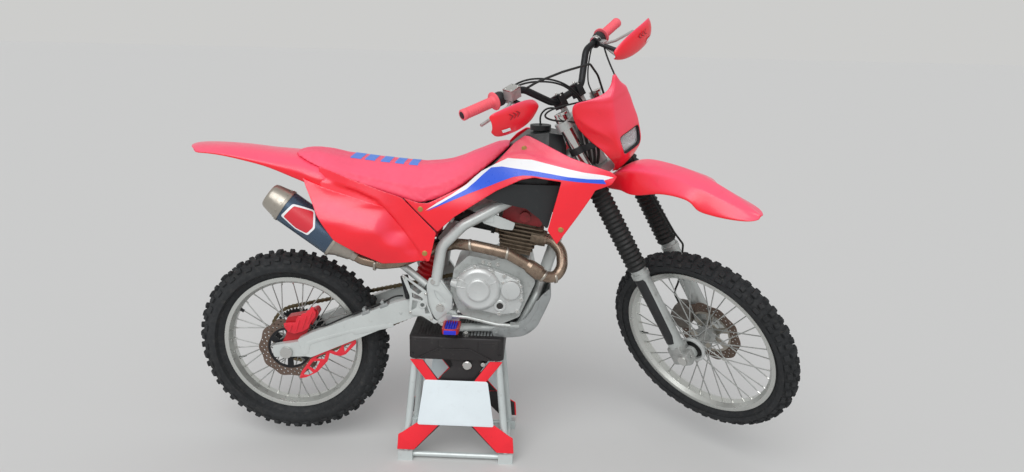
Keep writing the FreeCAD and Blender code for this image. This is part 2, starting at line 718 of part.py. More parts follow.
def make_engine():
    """Air-cooled single-cylinder engine with open fins."""
    case = plate([(560, 610), (572, 690), (620, 738), (700, 722), (715, 733), (826, 716), (840, 650),
                  (790, 530), (731, 502), (619, 514), (588, 545)], ENGINE_RIGHT, ENGINE_LEFT, 14)
    gap = size("seat_gap")
    pivot_room = rod(PIVOT - Vector(0, 150, 0), PIVOT + Vector(0, 150, 0),
                     size("pivot_tube_radius") + 3)
    chain_room = Part.Face(belt_outline(
        REAR_AXLE + Vector(0, 50, 0), size("rear_sprocket_radius") + 20,
        Vector(size("drive_sprocket_reach"), 50, size("drive_sprocket_height")),
        size("drive_sprocket_radius") + 20)).extrude(Vector(0, 80, 0))
    crankcase = case.cut(pivot_room).cut(chain_room)
    feature("crankcase", crankcase, CHASSIS)
    clutch_centre = Vector(656, ENGINE_RIGHT - gap, 634)
    water_centre = Vector(762, ENGINE_RIGHT - gap, 636)
    right_cover = plate([(585, 668), (640, 712), (700, 700), (744, 684), (790, 664), (803, 600),
                         (728, 548), (654, 562), (596, 592)], -130, ENGINE_RIGHT - gap, 22)
    clutch = rod(clutch_centre, clutch_centre - Vector(0, 44, 0), 70)
    boss = rod(clutch_centre, clutch_centre - Vector(0, 54, 0), 38)
    filter_cap = rod(water_centre, water_centre - Vector(0, 46, 0), 33)
    left_centre = Vector(752, ENGINE_LEFT + gap, 630)
    left_cover = rod(left_centre, left_centre + Vector(0, 36, 0), 66)
    left_dome = cone(left_centre + Vector(0, 36, 0), left_centre + Vector(0, 44, 0), 58, 44)
    feature("engine_covers", Part.makeCompound([
        joined([right_cover, clutch, boss, filter_cap]),
        joined([left_cover, left_dome]),
    ]), CHASSIS)

    barrel_half = 50
    barrel = boxed(Vector(0, 0, 52), 2 * barrel_half, 2 * barrel_half, 104)
    fins = []
    count = 7
    for number in range(count):
        height = 14 + number * 13.5
        reach = 56 + 22 * number / (count - 1)
        wide = 62 + 12 * number / (count - 1)
        fin = Part.Face(outline([Vector(-reach, -wide, height), Vector(reach, -wide, height),
                                 Vector(reach, wide, height), Vector(-reach, wide, height)], 16))
        fins.append(fin.extrude(Vector(0, 0, 4)))
    lean = Placement(CYLINDER_FOOT, Rotation(Vector(0, 1, 0), math.degrees(CYLINDER_LEAN)))
    foot = 22
    exhaust_port = rod(Vector(40, EXHAUST_PORT_SIDE, 66), Vector(84, EXHAUST_PORT_SIDE, 66), 27)
    intake_port = rod(Vector(-40, 0, INTAKE_PORT_UP), Vector(-80, 0, INTAKE_PORT_UP), 28)
    cylinder = joined([barrel, exhaust_port, intake_port] + fins)
    feature("cylinder", cylinder, CHASSIS.multiply(lean).multiply(Placement(Vector(0, 0, foot), Rotation())))
    top = foot + 104 + gap
    lower = plate([(-66, 0), (66, 0), (70, 34), (48, 58), (-40, 62), (-64, 40)], -56, 56, 10)
    plug_port = rod(Vector(8, -70, 26), Vector(8, -40, 26), 17)
    valve_caps = [rod(Vector(x, 0, 52), Vector(x, 0, 66), 20) for x in (-22, 26)]
    feature("head_cover", joined([lower, plug_port] + valve_caps),
            CHASSIS.multiply(lean).multiply(Placement(Vector(0, 0, top), Rotation())))


def make_intake():
    """Throttle body behind the cylinder head, with the intake boot and the air box."""
    face = on_cylinder(-80 - size("seat_gap"), 0, INTAKE_PORT_UP)
    body = rod(face - CYLINDER_AHEAD * 88, face, 26)
    flange = rod(face - CYLINDER_AHEAD * 12, face, 32)
    boot = cone(face - CYLINDER_AHEAD * 112, face - CYLINDER_AHEAD * 84, 33, 28)
    air_tube = rod(Vector(503.6, 0, 860), face - CYLINDER_AHEAD * 100, 17)
    feature("throttle_body", joined([body, flange, boot, air_tube]), CHASSIS)
    box = plate([(300, 905), (500, 890), (500, 800), (440, 770), (300, 790)], -60.5, 60.5, 10)
    shock_room = Part.makeBox(160, 90, 90, Vector(430, -45, 740))
    pipe_room = Part.makeBox(120, 50, 60, Vector(420, -95, 720))
    feature("air_box", box.cut(shock_room).cut(pipe_room), CHASSIS)


EXHAUST_ROUTE = (
    (892, -42, 783), (924, -60, 752), (928, -92, 706), (905, -112, 676),
    (866, -124, 682), (820, -124, 716), (747, -122, 756), (690, -122, 768), (628, -116, 778),
    (572, -78, 770), (520, -64, 752), (466, -68, 732), (400, -112, 712), (338, -126, 708),
    (272, -126, 722),
)
MUFFLER_FRONT = Vector(236, -126, 748)
MUFFLER_BACK = Vector(18, -126, 905)


def make_exhaust():
    """Header from the head round the right side to the muffler."""
    radius = size("exhaust_radius")
    port = on_cylinder(84 + size("seat_gap"), EXHAUST_PORT_SIDE, 66)
    route = [port] + [Vector(*point) for point in EXHAUST_ROUTE] + [MUFFLER_FRONT]
    header = tube(route, radius, 60)
    flange = rod(port, port + CYLINDER_AHEAD * 7, radius + 8)
    bomb_axis = (Vector(820, -124, 716) - Vector(862, -124, 685)).normalize()
    bomb_start = Vector(864, -124, 684)
    bomb = [cone(bomb_start, bomb_start + bomb_axis * 16, radius, radius + 7),
            cone(bomb_start + bomb_axis * 16, bomb_start + bomb_axis * 52, radius + 7, radius + 5),
            cone(bomb_start + bomb_axis * 52, bomb_start + bomb_axis * 66, radius + 5, radius)]
    feature("exhaust_header", joined([header, flange] + bomb), CHASSIS)
    axis = (MUFFLER_BACK - MUFFLER_FRONT).normalize()
    length = (MUFFLER_BACK - MUFFLER_FRONT).Length
    can = size("muffler_radius")
    start = MUFFLER_FRONT + axis * size("seat_gap")
    # Columns: start and end along the axis, radius at the start and at the end
    stages = ((0, 30, 22, 26), (30, 78, 26, can - 3), (76, 86, can, can), (78, length - 62, can - 2, can - 2),
              (length - 70, length - 60, can, can), (length - 62, length - 8, can - 3, can - 12),
              (length - 8, length, can - 12, can - 16))
    pieces = [cone(start + axis * low, start + axis * high, first, last) if first != last
              else rod(start + axis * low, start + axis * high, first)
              for low, high, first, last in stages]
    outlet = rod(start + axis * (length - 40), start + axis * (length + 5), 22)
    feature("muffler", joined(pieces).cut(outlet), CHASSIS)


# Bodywork

def soft_section(x, low, high, wide_low, wide_high, bend):
    """Upright section with rounded top corners."""
    points = [Vector(x, -wide_low, low), Vector(x, -wide_low, low + 0.35 * (high - low)),
              Vector(x, -wide_high, high), Vector(x, wide_high, high),
              Vector(x, wide_low, low + 0.35 * (high - low)), Vector(x, wide_low, low)]
    return outline(points, bend)


# Columns: reach, height of the base, height of the top, half width at the base, half width at the top
SEAT_SECTIONS = (
    (68, 1061, 1070, 42, 34),
    (107, 1037, 1071, 92, 72),
    (202, 1002, 1060, 116, 86),
    (388, 941, 1040, 128, 88),
    (466, 921, 1037, 126, 84),
    (558, 951, 1048, 112, 78),
    (628, 992, 1074, 94, 70),
    (706, 1055, 1107, 72, 58),
    (750, 1097, 1113, 52, 46),
)


def make_seat():
    """Long flat seat that rises onto the tank."""
    feature("seat", loft([soft_section(*row, 0) for row in SEAT_SECTIONS]), CHASSIS)


# Columns: reach, underside height, crown height, half width low, half width high
TANK_SECTIONS = (
    (640, 948, 985, 92, 80),
    (700, 950, 1046, 108, 74),
    (762, 940, 1104, 118, 62),
    (800, 930, 1134, 122, 66),
    (870, 930, 1141, 120, 66),
    (912, 940, 1134, 106, 52),
    (926, 960, 1100, 92, 46),
)


TANK_LOBE_OUTSIDE = 138.0


def make_tank():
    """Black tank that saddles the frame spars, with a screw cap."""
    body = loft([soft_section(*row, 0) for row in TANK_SECTIONS])
    lobe = plate([(656, 945), (704, 987), (919, 987), (919, 950), (896, 935), (873, 841), (846, 879),
                  (804, 910), (740, 922)], -TANK_LOBE_OUTSIDE, -102.4, 6)
    tunnel = plate([(600, 800), (600, 935), (720, 950), (880, 1038.1), (980, 1108.1), (980, 800)], -104, 104)
    steering_room = rod(along_fork(0, 600), along_fork(0, 960), 62)
    cap_axis = Vector(842, 0, 1120)
    cap_hole = rod(cap_axis, cap_axis + Vector(0, 0, 60), 24)
    pieces = joined([body.cut(tunnel), lobe, mirrored(lobe)])
    feature("fuel_tank", pieces.cut(steering_room).cut(cap_hole), CHASSIS)
    cap = joined([rod(cap_axis + Vector(0, 0, 0.3), cap_axis + Vector(0, 0, 28), 23.5),
                  rod(cap_axis + Vector(0, 0, 22), cap_axis + Vector(0, 0, 38), 34)])
    feature("tank_cap", cap, CHASSIS)


def skin(sections):
    """Bent sheet through sections. Each is a reach and a row of Y and Z pairs on its outside."""
    wall = size("plastic_wall")
    wires = []
    for reach, pairs in sections:
        outside = [Vector(reach, y, z) for y, z in pairs]
        inside = [Vector(reach, y + wall, z) for y, z in reversed(pairs)]
        wires.append(outline(outside + inside))
    return loft(wires)


SIDE_PANEL_OUTLINE = (
    (93, 979), (146, 875), (200, 800), (275, 758), (350, 723), (499, 731), (520, 825), (412, 935),
    (388, 942), (202, 1003), (152, 1018), (162, 962),
)
# Each row: reach, then the band below the seat, the crease, the proud plate and its lower edge
SIDE_PANEL_SECTIONS = (
    (60, ((-104, 1060), (-124, 990), (-146, 984), (-180, 870), (-166, 700))),
    (200, ((-118, 1040), (-134, 938), (-152, 931), (-183, 850), (-166, 700))),
    (330, ((-124, 1000), (-146, 910), (-158, 903), (-184, 820), (-160, 700))),
    (390, ((-128, 980), (-150, 836), (-158, 829), (-170, 780), (-156, 700))),
    (450, ((-130, 970), (-148, 765), (-152, 758), (-153, 730), (-150, 700))),
    (560, ((-128, 1000), (-140, 880), (-142, 800), (-139, 740), (-136, 690))),
)


def make_side_panels():
    """Number panels below the seat, left and right."""
    sheet = skin(SIDE_PANEL_SECTIONS)
    cutter = plate(SIDE_PANEL_OUTLINE, -260, -60, 5)
    # Columns: reach, height, distance of the strut's face, distance of the panel's wall
    bosses = [rod(Vector(x, -strut_face, z), Vector(x, -wall_face, z), 6)
              for x, z, strut_face, wall_face in ((200, 900, 82.3, 160), (300, 777, 89.5, 172))]
    feature("side_panels", both_sides(joined([sheet.common(cutter)] + bosses)), CHASSIS)


SHROUD_OUTLINE = (
    (416, 934), (466, 919), (492, 919), (524, 934), (603, 974), (706, 1052), (762, 1114), (794, 1136),
    (809, 1134), (936, 1079), (1063, 1040), (1083, 1025), (1065, 1001), (1016, 984), (1002, 958),
    (964, 899), (904, 809), (874, 853), (911, 1009), (827, 1017), (787, 1008), (711, 969),
    (579, 880), (524, 828),
)
SHROUD_SECTIONS = (
    (400, ((-126, 1160), (-136, 960), (-144, 880), (-144, 790))),
    (620, ((-100, 1160), (-130, 985), (-154, 900), (-150, 790))),
    (800, ((-88, 1160), (-154, 1040), (-178, 960), (-172, 790))),
    (930, ((-92, 1160), (-176, 1040), (-190, 960), (-182, 790))),
    (1100, ((-118, 1160), (-162, 1040), (-166, 960), (-160, 790))),
)


def make_shrouds():
    """Tank shrouds that sweep forward past the fork."""
    sheet = skin(SHROUD_SECTIONS)
    cutter = plate(SHROUD_OUTLINE, -260, -20, 5)
    tank_side = TANK_LOBE_OUTSIDE + size("seat_gap")
    # Columns: reach, height, distance of the shroud's wall
    bosses = [rod(Vector(x, -tank_side, z), Vector(x, -wall_face, z), 6)
              for x, z, wall_face in ((725, 978, 153), (910, 965, 185))]
    feature("tank_shrouds", both_sides(joined([sheet.common(cutter)] + bosses)), CHASSIS)


def arched_section(reach, crown, edge, wide, wall):
    """Arched strip, open below."""
    rise = crown - edge
    outer = Part.Arc(Vector(reach, -wide, edge), Vector(reach, 0, crown), Vector(reach, wide, edge))
    inner = Part.Arc(Vector(reach, wide - wall, edge), Vector(reach, 0, crown - min(wall, rise)),
                     Vector(reach, wall - wide, edge))
    left = Part.LineSegment(Vector(reach, wide, edge), Vector(reach, wide - wall, edge))
    right = Part.LineSegment(Vector(reach, wall - wide, edge), Vector(reach, -wide, edge))
    return Part.Wire([outer.toShape(), left.toShape(), inner.toShape(), right.toShape()])


# Columns: reach, crown height, edge height, half width
REAR_FENDER_SECTIONS = (
    (-296, 1076, 1062, 48),
    (-230, 1081, 1051, 72),
    (-116, 1081, 1029, 84),
    (-30, 1072, 1009, 92),
    (50, 1066, 984, 104),
    (80, 1043, 972, 114),
    (150, 1012, 952, 126),
)
FRONT_FENDER_SECTIONS = (
    (1080, 1006, 975, 36),
    (1135, 1046, 986, 44),
    (1165, 1066, 990, 52),
    (1222, 1112, 1000, 78),
    (1301, 1148, 1028, 80),
    (1415, 1152, 1062, 76),
    (1500, 1127, 1066, 72),
    (1578, 1092, 1050, 62),
    (1612, 1068, 1046, 48),
)


def make_fenders():
    """Front and rear fenders, thin arched shells."""
    wall = size("plastic_wall")
    rear = loft([arched_section(*row, wall) for row in REAR_FENDER_SECTIONS])
    rail_posts = [rod(Vector(40, side * 57, 1025), Vector(40, side * 57, 1048), 7) for side in (-1, 1)]
    feature("rear_fender", joined([rear] + rail_posts), CHASSIS)
    front = loft([arched_section(*row, wall) for row in FRONT_FENDER_SECTIONS])
    clamp_bottom = size("head_tube_low") - size("clamp_gap") - size("lower_clamp_height")
    post_foot = clamp_bottom - size("seat_gap") - 30
    clamp_posts = [leaned(Part.makeCylinder(8, 30, Vector(30, side * 20, post_foot))) for side in (-1, 1)]
    feature("front_fender", joined([front] + clamp_posts), STEERED)


def make_skid_plate():
    """Bent plate under the engine."""
    half = size("cradle_half_width") + 30
    low = UNDERSIDE_HEIGHT + size("seat_gap")
    wall = size("plate_wall")
    rail_bottom = low + wall - 2 * size("seat_gap")
    outer = [(892, 632), (894, 600), (850, 494), (800, 456), (756, low), (600, low)]
    inner = [(600, rail_bottom), (758, rail_bottom), (798, 456 + wall), (850 - wall, 494 + 3),
             (894 - wall, 601), (892 - wall, 632)]
    shell = plate(outer + inner, -half, half)
    cheek = plate([(892, 632), (894, 600), (850, 494), (800, 456), (756, low), (700, low + 40),
                   (796, 505), (866, 610)], -half - wall, -half)
    feature("skid_plate", joined([shell, cheek, mirrored(cheek)]), CHASSIS)


# Rider controls on the chassis

def make_foot_controls():
    """Footpegs, heel guards, brake pedal, shift lever and the rear master cylinder."""
    half = size("frame_half_width")
    peg_inner = half + 10 + size("seat_gap")
    peg_outer = half + 92
    peg_middle = -(peg_inner + peg_outer) / 2
    peg_frame = boxed(pivot_point(40, peg_middle, -54), 58, peg_outer - peg_inner, 22).cut(
        boxed(pivot_point(40, peg_middle, -54), 40, peg_outer - peg_inner - 16, 40))
    bars = [boxed(pivot_point(40, -half - y, -52), 50, 5, 14) for y in (36, 54, 72)]
    feature("footpegs", both_sides(joined([peg_frame] + bars)), CHASSIS)
    guard_inner = -half - 10 - size("seat_gap")
    guard_outer = guard_inner - 3.4
    guard = plate(by_pivot([(-122, 119), (-43, 53), (-60, 15), (-90, -21), (-102, -19), (-108, 50)]),
                  guard_outer, guard_inner, 6)
    arm = plate(by_pivot([(-98, -15), (-8, -41), (-4, -30), (-84, 0)]), guard_outer, guard_inner, 3)
    hole = plate(by_pivot([(-106, 88), (-62, 51), (-80, 10), (-96, 40)]), -half - 30, -half, 6)
    feature("heel_guards", both_sides(joined([guard.cut(hole), arm])), CHASSIS)
    gap = size("seat_gap")
    pedal = tube([pivot_point(30, -half - 16, -26), pivot_point(90, -half - 22, -26),
                  Vector(720, -half - 42, 520), Vector(770, -half - 48, 520)], 6, 30)
    pedal_pivot = rod(pivot_point(30, -half - 10 - gap, -26), pivot_point(30, -half - 26, -26), 10)
    pedal_tip = boxed(Vector(778, -half - 48, 524), 30, 26, 8)
    lever = tube([Vector(650, ENGINE_LEFT + 12, 546), Vector(690, half + 20, 540),
                  Vector(770, half + 30, 545)], 5.5, 20)
    lever_tip = rod(Vector(770, half + 24, 545), Vector(770, half + 52, 545), 8)
    shaft = rod(Vector(650, ENGINE_LEFT + gap, 546), Vector(650, ENGINE_LEFT + 22, 546), 9)
    feature("foot_controls", Part.makeCompound([
        joined([pedal, pedal_pivot, pedal_tip]), joined([lever, lever_tip, shaft])]), CHASSIS)
    cylinder = rod(pivot_point(-106, -half + 4, 26), pivot_point(-122, -half + 4, 102), 13)
    lugs = [rod(pivot_point(ahead, -half, up), pivot_point(ahead, -half - 10, up), 6)
            for ahead, up in ((-109, 40), (-119, 88))]
    feature("rear_master_cylinder", joined([cylinder] + lugs), CHASSIS)


def make_rear_brake():
    """Rear caliper over the disc, with the red guards on the swingarm."""
    offset = -size("rear_disc_offset")
    gap = 3.0
    body = plate([(-6, 470), (4, 494), (60, 506), (104, 530), (112, 512), (88, 468), (40, 448)],
                 offset - 19, offset + 17, 8)
    slot = rod(Vector(0, offset - size("rear_disc_thickness") / 2 - gap, REAR_AXLE.z),
               Vector(0, offset + size("rear_disc_thickness") / 2 + gap, REAR_AXLE.z),
               size("rear_disc_radius") + gap)
    arm_face = size("arm_outer_half_width") - size("arm_tube_width") - size("seat_gap")
    bracket = plate([(-24, 352), (24, 352), (44, 400), (84, 470), (60, 500), (10, 480), (-10, 420),
                     (-30, 384)], -arm_face, -arm_face + 5.2, 6)
    spacer_room = rod(REAR_AXLE, REAR_AXLE - Vector(0, 100, 0), 18 + size("seat_gap"))
    feature("rear_caliper", joined([body.cut(slot), bracket]).cut(spacer_room), CHASSIS)
    fin = plate([(35, 269), (47, 300), (100, 345), (145, 379), (160, 390), (190, 404), (230, 424),
                 (239, 419), (179, 361), (108, 332), (70, 280)], -size("arm_outer_half_width") + 8,
                -size("arm_outer_half_width") + 12, 6)
    guide = plate([(150, 410), (250, 440), (240, 400), (180, 350), (140, 350)],
                  size("sprocket_offset") + 7.6, size("sprocket_offset") + 10.6, 6)
    feature("swingarm_guards", Part.makeCompound([fin, guide]), CHASSIS)


def make_shock():
    """Single rear shock between the swingarm and the top cross tube, with its spring."""
    foot = pivot_point(-78, 0, 40)
    top = Vector(521, 0, 778)
    axis = (top - foot).normalize()
    length = (top - foot).Length
    body_radius = 22.0
    shaft = rod(foot, foot + axis * 70, 8)
    body = rod(foot + axis * 60, foot + axis * (length - 32), body_radius)
    neck = rod(foot + axis * (length - 40), top, 14)
    eyes = [rod(Vector(place.x, -17.5, place.z), Vector(place.x, 17.5, place.z), 12)
            for place in (foot, top)]
    lower_seat = rod(foot + axis * 16, foot + axis * 24, 34)
    upper_seat = rod(foot + axis * (length - 40), foot + axis * (length - 32), 34)
    feature("shock_absorber", joined([shaft, body, neck, lower_seat, upper_seat] + eyes), CHASSIS)
    gap = size("seat_gap")
    start = 24 + gap
    end = length - 40 - gap
    turns = 7
    pitch = (end - start) / turns
    profile = [Vector(body_radius + gap, 0, start)]
    for number in range(turns):
        base = start + number * pitch
        profile += [Vector(body_radius + 4, 0, base), Vector(body_radius + 14, 0, base + 0.25 * pitch),
                    Vector(body_radius + 14, 0, base + 0.6 * pitch),
                    Vector(body_radius + 4, 0, base + 0.85 * pitch)]
    profile += [Vector(body_radius + 4, 0, end), Vector(body_radius + gap, 0, end)]
    coil = Part.Face(outline(profile)).revolve(Vector(), Vector(0, 0, 1), 360)
    coil.Placement = Placement(foot, Rotation(Vector(0, 0, 1), axis))
    feature("shock_spring", coil, CHASSIS)


# Steering

RISER_TOP = 920.0


def make_fork():
    """Clamps, fork legs, rubber gaiters and the front axle, drawn about the steering axis."""
    spread = size("fork_half_spacing")
    reach = size("fork_offset")
    tube_radius = size("stanchion_radius")
    gap = size("seat_gap")
    low = size("head_tube_low") - size("clamp_gap") - size("lower_clamp_height")
    high = size("head_tube_high") + size("clamp_gap")

    def clamp(height, depth):
        centre = [Vector(-30, -26, height), Vector(-30, 26, height), Vector(reach + 8, 44, height),
                  Vector(reach + 8, -44, height)]
        plate_face = Part.Face(outline(centre, 12)).extrude(Vector(0, 0, depth))
        bridge = boxed(Vector(reach, 0, height + depth / 2), 44, 2 * spread, depth)
        collars = [Part.makeCylinder(tube_radius + 9, depth, Vector(reach, side * spread, height))
                   for side in (-1, 1)]
        return [plate_face, bridge] + collars

    stem = Part.makeCylinder(size("stem_radius"), high + 20 - low, Vector(0, 0, low))
    riser_foot = high + size("upper_clamp_height") - 1
    risers = [Part.makeCylinder(11, RISER_TOP - riser_foot, Vector(14, side * 45, riser_foot))
              for side in (-1, 1)]
    lower = joined(clamp(low, size("lower_clamp_height")) + [stem])
    upper = joined(clamp(high, size("upper_clamp_height")) + risers)
    holes = [Part.makeCylinder(tube_radius + 0.1, 600, Vector(reach, side * spread, 500))
             for side in (-1, 1)]
    clamps = joined([lower, upper])
    for hole in holes:
        clamps = clamps.cut(hole)
    feature("triple_clamps", clamps, FORK)

    slider_top = size("slider_top")
    stanchion = Part.makeCylinder(tube_radius, size("stanchion_top") - slider_top - 1,
                                  Vector(reach, -spread, slider_top + 1))
    cap = Part.makeCylinder(tube_radius - 3, 10, Vector(reach, -spread, size("stanchion_top")))
    feature("fork_stanchions", both_sides(joined([stanchion, cap])), FORK)

    slider_radius = size("slider_radius")
    axle_reach = size("front_axle_offset")
    slider = Part.makeCylinder(slider_radius, slider_top + 18, Vector(reach, -spread, -18))
    lug = rod(Vector(axle_reach, -spread - slider_radius, 0),
              Vector(axle_reach, -spread + slider_radius, 0), 23)
    seal = Part.makeCylinder(slider_radius + 4, 16, Vector(reach, -spread, slider_top - 30))
    bore = rod(Vector(axle_reach, -spread - 40, 0), Vector(axle_reach, -spread + 40, 0),
               size("front_axle_radius") + size("running_gap"))
    feature("fork_sliders", both_sides(joined([slider, lug, seal]).cut(bore)), FORK)

    count = int(size("gaiter_ribs"))
    bottom = slider_top + 1
    pitch = (size("gaiter_top") - bottom) / count
    profile = [Vector(tube_radius + 0.3, 0, bottom), Vector(size("gaiter_valley_radius"), 0, bottom)]
    for number in range(count):
        ridge = bottom + (number + 0.5) * pitch
        profile.append(Vector(size("gaiter_radius"), 0, ridge))
        profile.append(Vector(size("gaiter_valley_radius"), 0, ridge + 0.5 * pitch))
    profile.append(Vector(tube_radius + 0.3, 0, bottom + count * pitch))
    gaiter = Part.Face(outline(profile)).revolve(Vector(), Vector(0, 0, 1), 360)
    gaiter.translate(Vector(reach, -spread, 0))
    feature("fork_gaiters", both_sides(gaiter), FORK)

    axle = rod(Vector(axle_reach, -spread - 30, 0), Vector(axle_reach, spread + 30, 0),
               size("front_axle_radius"))
    clear = slider_radius + gap
    nut = rod(Vector(axle_reach, -spread - clear - 8, 0), Vector(axle_reach, -spread - clear, 0), 17)
    hub_end = size("front_hub_half_length") + size("seat_gap")
    spacers = [rod(Vector(axle_reach, side * hub_end, 0), Vector(axle_reach, side * (spread - clear), 0), 15)
               for side in (-1, 1)]
    feature("front_axle", joined([axle, nut] + spacers), FORK)


def bar_side(side):
    """Middle line of one half of the handlebar, from the centre out."""
    start, end = grip_line(side)
    bend = start - (end - start).normalize() * 108
    return [Vector(928, 0, 1258), Vector(928, side * 70, 1258), bend, end]


def grip_line(side):
    """Start and end of the straight outer part of the bar."""
    start = Vector(869, side * size("grip_inner_half_width"), 1342)
    end = Vector(850, side * size("bar_half_width"), 1345)
    return start, end


def make_handlebar():
    """Bar, grips, guards and hand controls, drawn straight ahead."""
    radius = size("bar_radius")
    halves = []
    for side in (-1, 1):
        halves.append(tube(bar_side(side), radius, 55))
    clamp_blocks = [leaned(Part.makeBox(38, 26, 44, Vector(-8, side * 45 - 13, RISER_TOP + size("seat_gap"))))
                    for side in (-1, 1)]
    feature("handlebar", joined(halves + clamp_blocks), STEERED)
    grips = []
    guards = []
    controls = []
    for side in (-1, 1):
        start, end = grip_line(side)
        axis = (end - start).normalize()
        sleeve = rod(start, end + axis * 2, size("grip_radius"))
        flange = rod(start, start + axis * 6, size("grip_flange_radius"))
        hole = rod(start - axis * 5, end + axis * 0.3, radius + 0.3)
        grips.append(joined([sleeve, flange]).cut(hole))
        guards.append(hand_guard(side))
        perch_at = start - axis * 34
        ring = rod(perch_at - axis * 12, perch_at + axis * 12, 18).cut(
            rod(perch_at - axis * 20, perch_at + axis * 20, radius + 0.3))
        pivot_point = perch_at + Vector(34, 0, -4)
        perch = boxed(perch_at + Vector(26, 0, -3), 26, 22, 16)
        lever = tube([pivot_point, pivot_point + Vector(16, side * 40, -2),
                      pivot_point + Vector(10, side * 150, -10)], 5, 30)
        pieces = [ring, perch, lever]
        if side < 0:
            pieces.append(boxed(perch_at + Vector(34, 4, 18), 34, 40, 30))
        guard_room = guards[-1].translated(Vector(-size("seat_gap"), 0, 0))
        arm = rod(perch_at + Vector(14, 0, -4), Vector(966, side * 226, 1306), 5).cut(guard_room)
        pieces.append(min(arm.Solids, key=lambda solid: solid.CenterOfMass.x))
        controls.append(joined(pieces))
    feature("grips", Part.makeCompound(grips), STEERED)
    feature("hand_guards", Part.makeCompound(guards), STEERED)
    feature("hand_controls", Part.makeCompound(controls), STEERED)


def hand_guard(side):
    """Shield ahead of one grip, with the arm that carries it."""
    wall = size("plastic_wall")
    # Columns: distance out from the middle plane, reach of the front face, low and high edges
    table = ((196, 950, 1298, 1318), (236, 962, 1272, 1356), (330, 966, 1266, 1370),
             (392, 940, 1280, 1372), (404, 926, 1300, 1358))
    sections = []
    for out, reach, low, high in table:
        middle = (low + high) / 2
        front = [Vector(reach, side * out, low), Vector(reach + 10, side * out, middle),
                 Vector(reach, side * out, high)]
        back = [point - Vector(wall, 0, 0) for point in reversed(front)]
        sections.append(outline(front + back))
    return loft(sections)


# Columns: height, reach of the nose, reach of the sides, half width
COWL_SECTIONS = (
    (1062, 1144, 1130, 20),
    (1090, 1170, 1146, 48),
    (1120, 1192, 1152, 74),
    (1165, 1208, 1112, 92),
    (1210, 1203, 1070, 100),
    (1257, 1188, 1034, 104),
    (1300, 1170, 1034, 98),
    (1335, 1152, 1075, 64),
    (1368, 1134, 1118, 24),
)


def make_cowl():
    """Headlight cowl with its lamp."""
    wall = size("plastic_wall")
    wires = []
    for height, nose, side_reach, half in COWL_SECTIONS:
        outer = Part.Arc(Vector(side_reach, -half, height), Vector(nose, 0, height),
                         Vector(side_reach, half, height)).toShape()
        inner = Part.Arc(Vector(side_reach, half - wall, height), Vector(nose - wall, 0, height),
                         Vector(side_reach, wall - half, height)).toShape()
        left = Part.LineSegment(Vector(side_reach, half, height),
                                Vector(side_reach, half - wall, height)).toShape()
        right = Part.LineSegment(Vector(side_reach, wall - half, height),
                                 Vector(side_reach, -half, height)).toShape()
        wires.append(Part.Wire([outer, left, inner, right]))
    shell = loft(wires)

    def lamp_outline(grow):
        corners = ((-58 - grow, 1200 + grow), (58 + grow, 1200 + grow), (42 + grow, 1128 - grow),
                   (-42 - grow, 1128 - grow))
        return outline([Vector(1080, y, z) for y, z in corners], 8)

    make_cowl_brackets(shell)
    opening = Part.Face(lamp_outline(0.4)).extrude(Vector(200, 0, 0))
    feature("headlight_cowl", shell.cut(opening), STEERED)
    lamp = Part.Face(lamp_outline(0)).extrude(Vector(200, 0, 0))
    front_limit = loft([Part.Wire([
        Part.Arc(Vector(side_reach, -half, height), Vector(nose - 2, 0, height),
                 Vector(side_reach, half, height)).toShape(),
        Part.LineSegment(Vector(side_reach, half, height), Vector(side_reach, -half, height)).toShape(),
    ]) for height, nose, side_reach, half in COWL_SECTIONS])
    feature("headlight", lamp.common(front_limit), STEERED)


def make_cowl_brackets(shell):
    """Straps round the fork tubes, with arms that reach the cowl's walls."""
    gap = size("seat_gap")
    reach = size("fork_offset")
    side = -size("fork_half_spacing")
    height = 22.0
    inner = size("stanchion_radius") + gap
    centre = Vector(reach, side, 774)
    ring = Part.makeCylinder(inner + 4, height, centre).cut(Part.makeCylinder(inner, height, centre))
    arm = Part.makeBox(88, 4, height, Vector(reach + inner + 1, side - 2, centre.z))
    arm = leaned(joined([ring, arm]))
    arm = arm.cut(shell).cut(shell.translated(Vector(0, gap, 0)))
    bracket = min(arm.Solids, key=lambda solid: solid.CenterOfMass.x)
    feature("cowl_brackets", both_sides(bracket), STEERED)


def make_front_brake():
    """Front caliper on the left fork leg, with the brake hose."""
    offset = size("front_disc_offset")
    gap = 3.0
    reach = size("fork_offset")
    body = boxed(Vector(reach - 52, offset + 4, 72), 52, 40, 96)
    mount = boxed(Vector(reach - 30, offset + 22, 74), 34, 12, 60)
    slot = rod(Vector(size("front_axle_offset"), offset - size("front_disc_thickness") / 2 - gap, 0),
               Vector(size("front_axle_offset"), offset + size("front_disc_thickness") / 2 + gap, 0),
               size("front_disc_radius") + gap)
    leg_room = Part.makeCylinder(size("slider_radius") + 0.3, 300,
                                 Vector(reach, size("fork_half_spacing"), -40))
    feature("front_caliper", joined([body, mount]).cut(slot).cut(leg_room), FORK)


# Columns: reach from the steering axis, distance outside the fork leg's line, height along the axis
BRAKE_HOSE_FORK = (
    (75, -18, 850), (75, -18, 600), (75, 2, 372), (48, 44, 304), (2, 40, 230), (-22, 14, 176),
)


